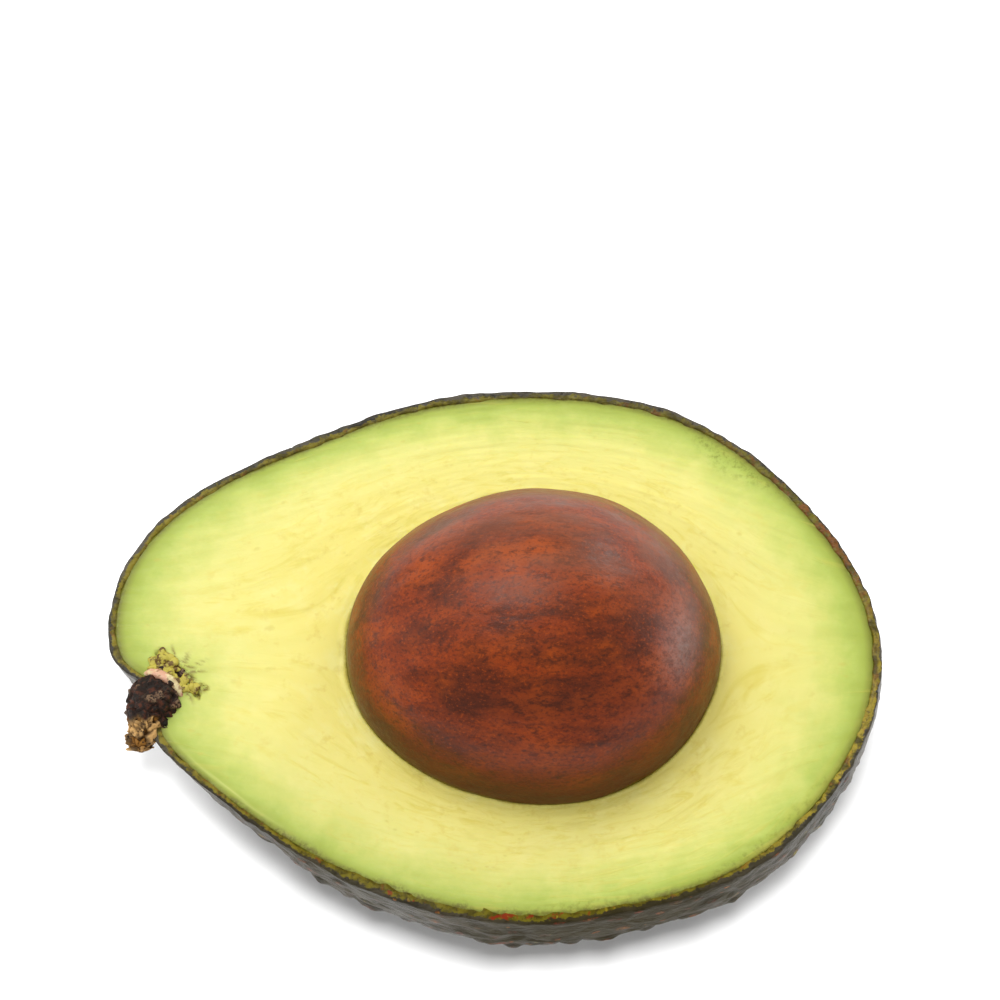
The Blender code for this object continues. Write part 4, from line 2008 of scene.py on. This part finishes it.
    def collar(self) -> bpy.types.Object:
        """Make the pale cuff of torn flesh round the stem where it leaves the fruit.

        Returns:
            The piece.
        """
        shares = np.linspace(*self.collar_shares, self.collar_rings)
        swell = np.sin(np.linspace(0.0, np.pi, self.collar_rings)) ** 0.6
        flat, out = self.tube(shares, self.collar_swell * swell - self.collar_sink)
        flat = flat + out * (self.collar_lumps * fractal(flat, 1.0 * MM, 3, 71))[:, None]
        vertices = np.vstack([flat, self.along(shares)[0][[0, -1]]])
        obj = load_mesh("stem_collar", vertices, self.tube_faces(self.collar_rings), {})
        return self.settle(obj, Slot.FLESH, CollarFinish().material(), None)

    def crumbs(self) -> bpy.types.Object:
        """Make the small torn bits on the face round the stem's root, each a lumpy pebble.

        Returns:
            The piece, which holds all of them.
        """
        rng = np.random.default_rng(self.bit_seed)
        collar = np.array([math.cos(self.collar_angle), math.sin(self.collar_angle), 0.0])
        inwards = np.array([-collar[1], collar[0], 0.0])
        root = np.array(self.root) + np.array([0.0, 0.0, self.face_height])
        domes = [Disc(self.bit_steps).hemisphere(top) for top in (-1.0, 1.0)]
        blocks, faces = [], []
        for number in range(self.bit_count):
            along = collar * rng.uniform(*self.bit_along) * MM
            middle = root + along + inwards * rng.uniform(*self.bit_inwards) * MM
            size = rng.uniform(*self.bit_sizes, 3) * MM * np.array([1.0, 1.0, 0.55])
            vertices, shell = two_domes(*(middle + dome * size for dome in domes))
            lumps = self.bit_lumps * fractal(vertices, 0.8 * MM, 2, 82)
            blocks.append(vertices + unit(vertices - middle) * lumps[:, None])
            start = number * len(vertices)
            faces += [[index + start for index in face] for face in shell]
        obj = load_mesh("torn_bits", np.vstack(blocks), faces, {})
        return self.settle(obj, Slot.FLESH, CrumbFinish().material(), None)

    def build(self) -> list[bpy.types.Object]:
        """Make the stub, the collar and the torn bits."""
        return [self.bark(), self.collar(), self.crumbs()]


# ---------------------------------------------------------------------------------------------
# The studio


@dataclass(frozen=True)
class Softbox:
    """A square area light that faces the fruit."""

    name: str
    place: Colour
    size: float
    power: float
    table_only: bool = False

    def build(self, target: Vector, table: bpy.types.Collection) -> bpy.types.Object:
        """Hang the light.

        Args:
            target: What it points at.
            table: The collection that a table light lights.

        Returns:
            The light.
        """
        data = bpy.data.lights.new(self.name, "AREA")
        data.shape = "SQUARE"
        data.size = self.size
        data.energy = self.power
        light = bpy.data.objects.new(self.name, data)
        light.location = self.place
        light.rotation_euler = (target - Vector(self.place)).to_track_quat("-Z", "Y").to_euler()
        light.visible_camera = False
        if self.table_only:
            light.light_linking.receiver_collection = table
        bpy.context.scene.collection.objects.link(light)
        return light


@dataclass(frozen=True)
class TableFinish:
    """Matt white with painted shade near the fruit, which deepens the soft shadow there.

    Far off it is painted whiter, which hides the table light's fall-off towards the horizon.
    """

    near: Colour = (0.65,) * 3
    far: Colour = (0.95,) * 3
    grey: Colour = (0.4,) * 3
    painted_grading: tuple[float, float] = (0.3, 1.3)  # metres from the fruit, over which the painted shade turns into painted brightness
    fine: Pattern = Pattern(Grain(2.0 * MM), 0.3, 0.7, end=0.04)

    def material(self) -> bpy.types.Material:
        """Make the finish.

        Returns:
            The material.
        """
        sheet = Sheet("table")
        away = sheet.node("ShaderNodeVectorMath", operation="LENGTH")
        sheet.feed(away.inputs[0], sheet.place)
        # painted shade near the fruit, painted brightness far away
        white = sheet.mix(sheet.spread(away.outputs["Value"], *self.painted_grading), self.near, self.far)
        return sheet.finish(Base_Color=sheet.lay(white, self.grey, self.fine), Roughness=0.7)


@dataclass
class Studio:
    """A white table, soft light and the camera."""

    face_height: float
    elevation: float = math.radians(68.0)
    distance: float = 0.75
    aim: Colour = (-1.29 * MM, 17.81 * MM, 42.38 * MM)
    lens: float = 212.5
    table_size: float = 6.0
    sky: float = 0.72
    boxes: tuple[Softbox, ...] = (
        Softbox("top_box", (-0.34, 0.45, 0.95), 0.7, 6.6),
        Softbox("back_box", (0.43, 0.64, 0.36), 0.26, 1.9),
        Softbox("card", (0.80, 0.10, 0.16), 0.30, 1.0),
        Softbox("left_box", (-0.80, 0.05, 0.40), 0.5, 1.0),
        Softbox("table_box", (0.0, -0.26, 1.1), 0.13, 16.0, table_only=True),
    )

    def table(self) -> bpy.types.Object:
        """Make the pale table top under the fruit.

        Returns:
            The table.
        """
        disc = Disc(4)
        side = np.linspace(-self.table_size / 2.0, self.table_size / 2.0, disc.steps + 1)
        x, y = np.meshgrid(side, side, indexing="ij")
        vertices = np.stack([x.ravel(), y.ravel(), np.zeros(x.size)], axis=1)
        table = load_mesh("table", vertices, disc.faces(turned=False).tolist(), {})
        table.data.materials.append(TableFinish().material())
        return table

    def daylight(self) -> None:
        """Surround the table with even white."""
        world = bpy.data.worlds.new("surround")
        world.use_nodes = True
        background = world.node_tree.nodes["Background"]
        background.inputs["Color"].default_value = (1.0, 1.0, 1.0, 1.0)
        background.inputs["Strength"].default_value = self.sky
        bpy.context.scene.world = world

    def camera(self) -> bpy.types.Object:
        """Set up a long lens that looks down on the cut face from the -Y side.

        Returns:
            The camera.
        """
        data = bpy.data.cameras.new("camera")
        data.lens = self.lens
        data.sensor_width = 36.0
        data.clip_start, data.clip_end = 0.01, 20.0
        camera = bpy.data.objects.new("camera", data)
        back = Vector((0.0, -math.cos(self.elevation), math.sin(self.elevation)))
        camera.location = Vector(self.aim) + back * self.distance
        camera.rotation_euler = (-back).to_track_quat("-Z", "Y").to_euler()
        bpy.context.scene.collection.objects.link(camera)
        bpy.context.scene.camera = camera
        return camera

    def build(self) -> None:
        """Set the table, the light and the camera."""
        table_group = bpy.data.collections.new("table_group")
        table_group.objects.link(self.table())
        self.daylight()
        target = Vector((0.0, 0.0, self.face_height))
        for box in self.boxes:
            box.build(target, table_group)
        self.camera()
        bpy.context.scene.view_settings.view_transform = "Standard"
        LOG.info("studio: %d softboxes", len(self.boxes))


def seed_form() -> SeedForm:
    """The seed's form, with its place and sizes taken from the CAD node.

    Returns:
        The form.
    """
    low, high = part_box("seed")
    half = (high - low) / 2.0
    middle = (high + low) / 2.0
    return SeedForm(np.array(middle), half.x, half.y)


def main() -> None:
    """Build the half avocado and its studio."""
    logging.basicConfig(level=logging.INFO, format="%(name)s: %(message)s")
    face_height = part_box("skin")[1].z
    form = FruitForm(face_height)
    seed = seed_form()
    Skin(form).build()
    Flesh(form, seed).build()
    Seed(seed, face_height).build()
    Stem(face_height).build()
    Studio(face_height).build()


if __name__ == "__main__":
    main()
